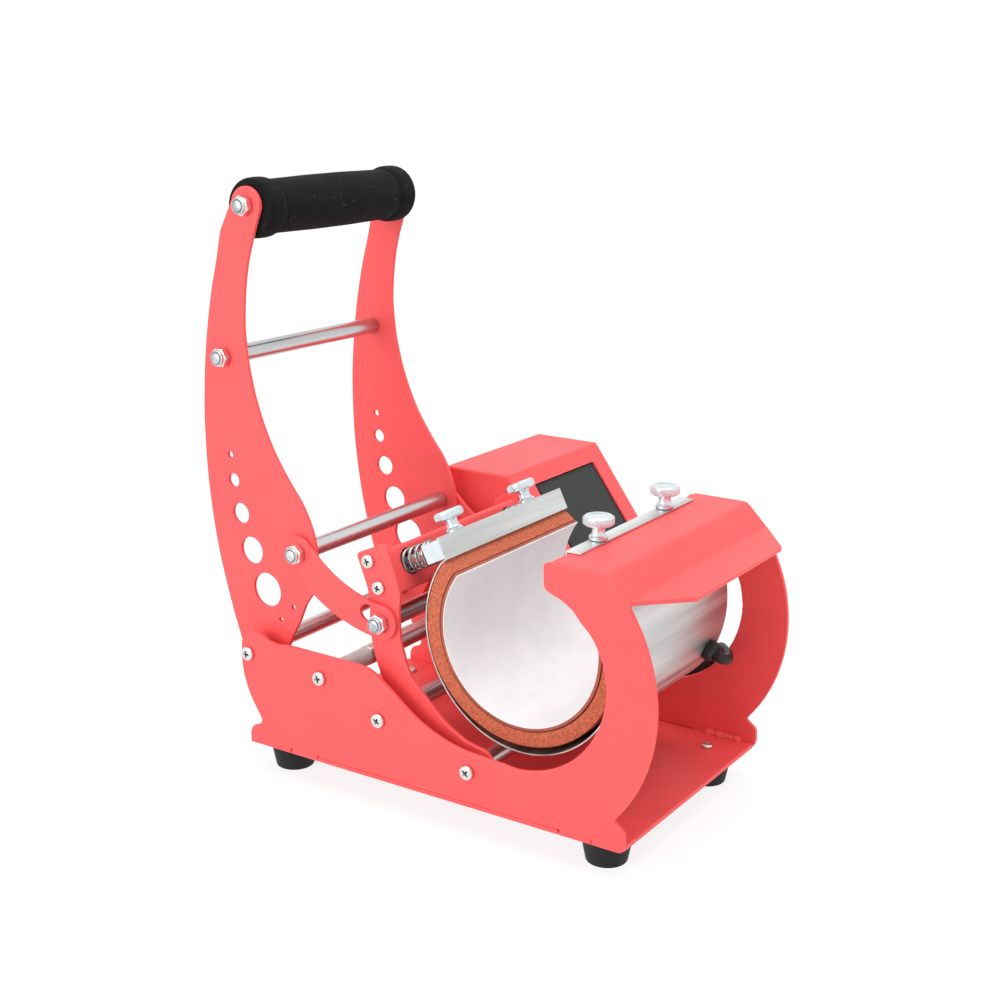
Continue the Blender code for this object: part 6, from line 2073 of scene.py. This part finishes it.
@dataclass
class Fasteners:
    """Pan head screws and lock nuts, placed from two templates."""

    head_radius: float = 0.0042
    head_height: float = 0.0024
    shank_radius: float = 0.0020
    length: float = 0.0140
    flat_radius: float = 0.0050
    nut_height: float = 0.0060
    hex_share: float = 0.70
    nut_bore: float = 0.0033
    box_face: float = 0.0811
    foot_spots: tuple[Pair, ...] = ((0.0578, -0.1323), (0.0578, 0.0798))
    crossbar_spots: tuple[Pair, ...] = ((0.0133, 0.1221), (0.0064, 0.1082))

    def screw_template(self, bench: Bench) -> Object:
        """Return a pan head screw with a cross recess, its head standing on z = 0."""
        r, h, s = self.head_radius, self.head_height, self.shank_radius
        profile = [(0, h - self.length), (s, h - self.length), (s, 0), (r - 0.0002, 0), (r, 0.0002),
                   (r, h * 0.38)]
        profile += [(r * (1 - 0.30 * t ** 2.2) - 0.0001, h * (0.38 + 0.62 * math.sin(t * math.pi / 2)))
                    for t in (0.25, 0.5, 0.75)]
        profile += [(r * 0.50, h), (0, h)]
        screw = bench.template("screw_template", lathe(profile, Vector(), ALONG_Z, 40), Palette.fastener)
        bench.carve(screw, self.cross(), local=True)
        screw.modifiers.clear()
        return screw

    def cross(self) -> list[Shape]:
        """Return the two tapered blades of the cross recess."""
        r, h = self.head_radius, self.head_height
        long, short = r * 0.60, r * 0.15
        return [frustum(h * 0.10, h * 1.5, (long * 0.45, short * 0.7), (long, short)),
                frustum(h * 0.10, h * 1.5, (short * 0.7, long * 0.45), (short, long))]

    def shade_template(self, bench: Bench) -> Object:
        """Return the dark film of painted shade that lines the foot of a cross recess."""
        h, r = self.head_height, self.head_radius
        film = Shape()
        for long, short in ((r * 0.36, r * 0.10), (r * 0.10, r * 0.36)):
            film.join(frustum(h * 0.05, h * 0.42, (long, short), (long * 1.15, short)))
        return bench.template("recess_template", film, Palette.recess)

    def nut_template(self, bench: Bench) -> tuple[Object, Object]:
        """Return a lock nut with a round collar, and its nylon ring, both standing on z = 0."""
        flat, height = self.flat_radius, self.nut_height
        corner = flat / math.cos(math.pi / 6)
        hexagon = height * self.hex_share
        rings = [circle((0, 0), corner, 6), circle((0, 0), self.nut_bore, 32)]
        body = prism(rings, 0, hexagon, 0.0001, Facing.PLAN.value)
        nut = bench.template("nut_template", body, Palette.fastener)
        barrel = [(0, -0.001), (flat * 0.98, -0.001), (flat * 0.98, 0), (corner * 1.02, hexagon * 0.18),
                  (corner * 1.02, hexagon * 0.80), (flat * 0.94, hexagon), (flat * 0.94, hexagon + 0.001),
                  (0, hexagon + 0.001)]
        bench.carve(nut, [lathe(barrel, Vector(), ALONG_Z, 48)], "INTERSECT", True)
        collar = fillet([(self.nut_bore + 0.0006, hexagon - 0.0004), (flat * 0.90, hexagon - 0.0004),
                         (flat * 0.88, height * 0.94), (flat * 0.80, height),
                         (self.nut_bore + 0.0006, height)], 0.0004, True, 4)
        bench.carve(nut, [lathe(collar, Vector(), ALONG_Z, 40, True)], "UNION", True)
        nut.modifiers.clear()
        nylon = rectangle((self.nut_bore - 0.0002, hexagon), (self.nut_bore + 0.0007, height - 0.0003))
        ring = lathe(fillet(nylon, 0.0002, True, 3), Vector(), ALONG_Z, 32, True)
        return nut, bench.template("nylon_template", ring, Palette.nylon)

    def screws(self, bench: Bench) -> None:
        """Place the rod, foot and crossbar screws."""
        template = self.screw_template(bench)
        spots, nodes = [], []
        face = LAYOUT.half_width + LAYOUT.gap
        rows = (("handle_pivot", LAYOUT.handle_pivot, face), ("swing_pivot", LAYOUT.swing_pivot, face),
                ("stop", LAYOUT.stop_axis, self.box_face), ("spacer", LAYOUT.spacer_axis, self.box_face))
        for number, (word, axis, right_face) in enumerate(rows):
            for side_word, side in SIDES:
                x = side * (right_face if side > 0 else face)
                spots.append(Spot((x, *axis), (side, 0, 0), 0.35 + 0.9 * number + 0.4 * side))
                nodes.append(f"{word}_screw_{side_word}")
        for number, (x, y) in enumerate(self.foot_spots):
            spots += [Spot((side * x, y, LAYOUT.sheet + 0.0001), (0, 0, 1), 0.5 + number + side, 0.80)
                      for _, side in SIDES]
        shade = self.shade_template(bench)
        bench.scatter("frame_pan_screws", template, spots, Palette.fastener, "frame", nodes)
        bench.scatter("frame_screw_recesses", shade, spots, Palette.recess, "frame")
        spots = [Spot((side * (LAYOUT.arm_planes[1] + 0.0001), y, z), (side, 0, 0), 0.3 + number * 1.1, 0.95)
                 for number, (y, z) in enumerate(self.crossbar_spots) for _, side in SIDES]
        bench.scatter("crossbar_pan_screws", template, spots, Palette.fastener, "swing")
        bench.scatter("crossbar_screw_recesses", shade, spots, Palette.recess, "swing")
        bpy.data.objects.remove(template)
        bpy.data.objects.remove(shade)

    def nuts(self, bench: Bench) -> None:
        """Place the lock nuts on the ends of the pins."""
        nut, insert = self.nut_template(bench)
        arm, link = LAYOUT.arm_planes[1], LAYOUT.link_planes[1]
        groups = {"handle": (("grip_nut", LAYOUT.grip_axis, arm), ("spreader_nut", LAYOUT.spreader_axis, arm),
                             ("link_nut", LAYOUT.link_pin, link)),
                  "swing": (("swing_nut", LAYOUT.swing_pin, link),)}
        for body, rows in groups.items():
            spots, nodes = [], []
            for number, (word, axis, plane) in enumerate(rows):
                for side_word, side in SIDES:
                    point = (side * (plane + LAYOUT.gap), *axis)
                    spots.append(Spot(point, (side, 0, 0), 0.2 + 0.37 * number))
                    nodes.append(f"{word}_{side_word}")
            bench.scatter(body + "_lock_nuts", nut, spots, Palette.fastener, body, nodes)
            bench.scatter(body + "_nut_inserts", insert, spots, Palette.nylon, body)
        bpy.data.objects.remove(nut)
        bpy.data.objects.remove(insert)

    def build(self, bench: Bench) -> None:
        """Place every screw and nut."""
        self.screws(bench)
        self.nuts(bench)


def main() -> None:
    """Build the press and its studio."""
    logging.basicConfig(level=logging.INFO, format="%(message)s")
    bench = Bench()
    Studio().build(bench)
    for assembly in (HeaterLead(), Chassis(), CrossRods(), Handle(), Links(), SwingFrame(), SlidingClamp(),
                     HeaterWrap(), ControlBox(), Fasteners()):
        assembly.build(bench)
        log.info("%s done", type(assembly).__name__)
    finishes = {finish.slot: finish for finish in (
        Palette.red, Palette.fastener, Palette.zinc, Palette.band, Palette.spring, Palette.sponge,
        Palette.liner, Palette.sleeve, Palette.foam, Palette.rubber, Palette.plastic, Palette.gloss)}
    for name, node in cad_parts.items():
        if not node.hide_render:
            slot = node.data.materials[0].name.split(".")[0]
            node.data.materials[0] = finishes.get(slot, Palette.red).material()
            log.info("node %s wears %s", name, slot)


if __name__ == "__main__":
    main()
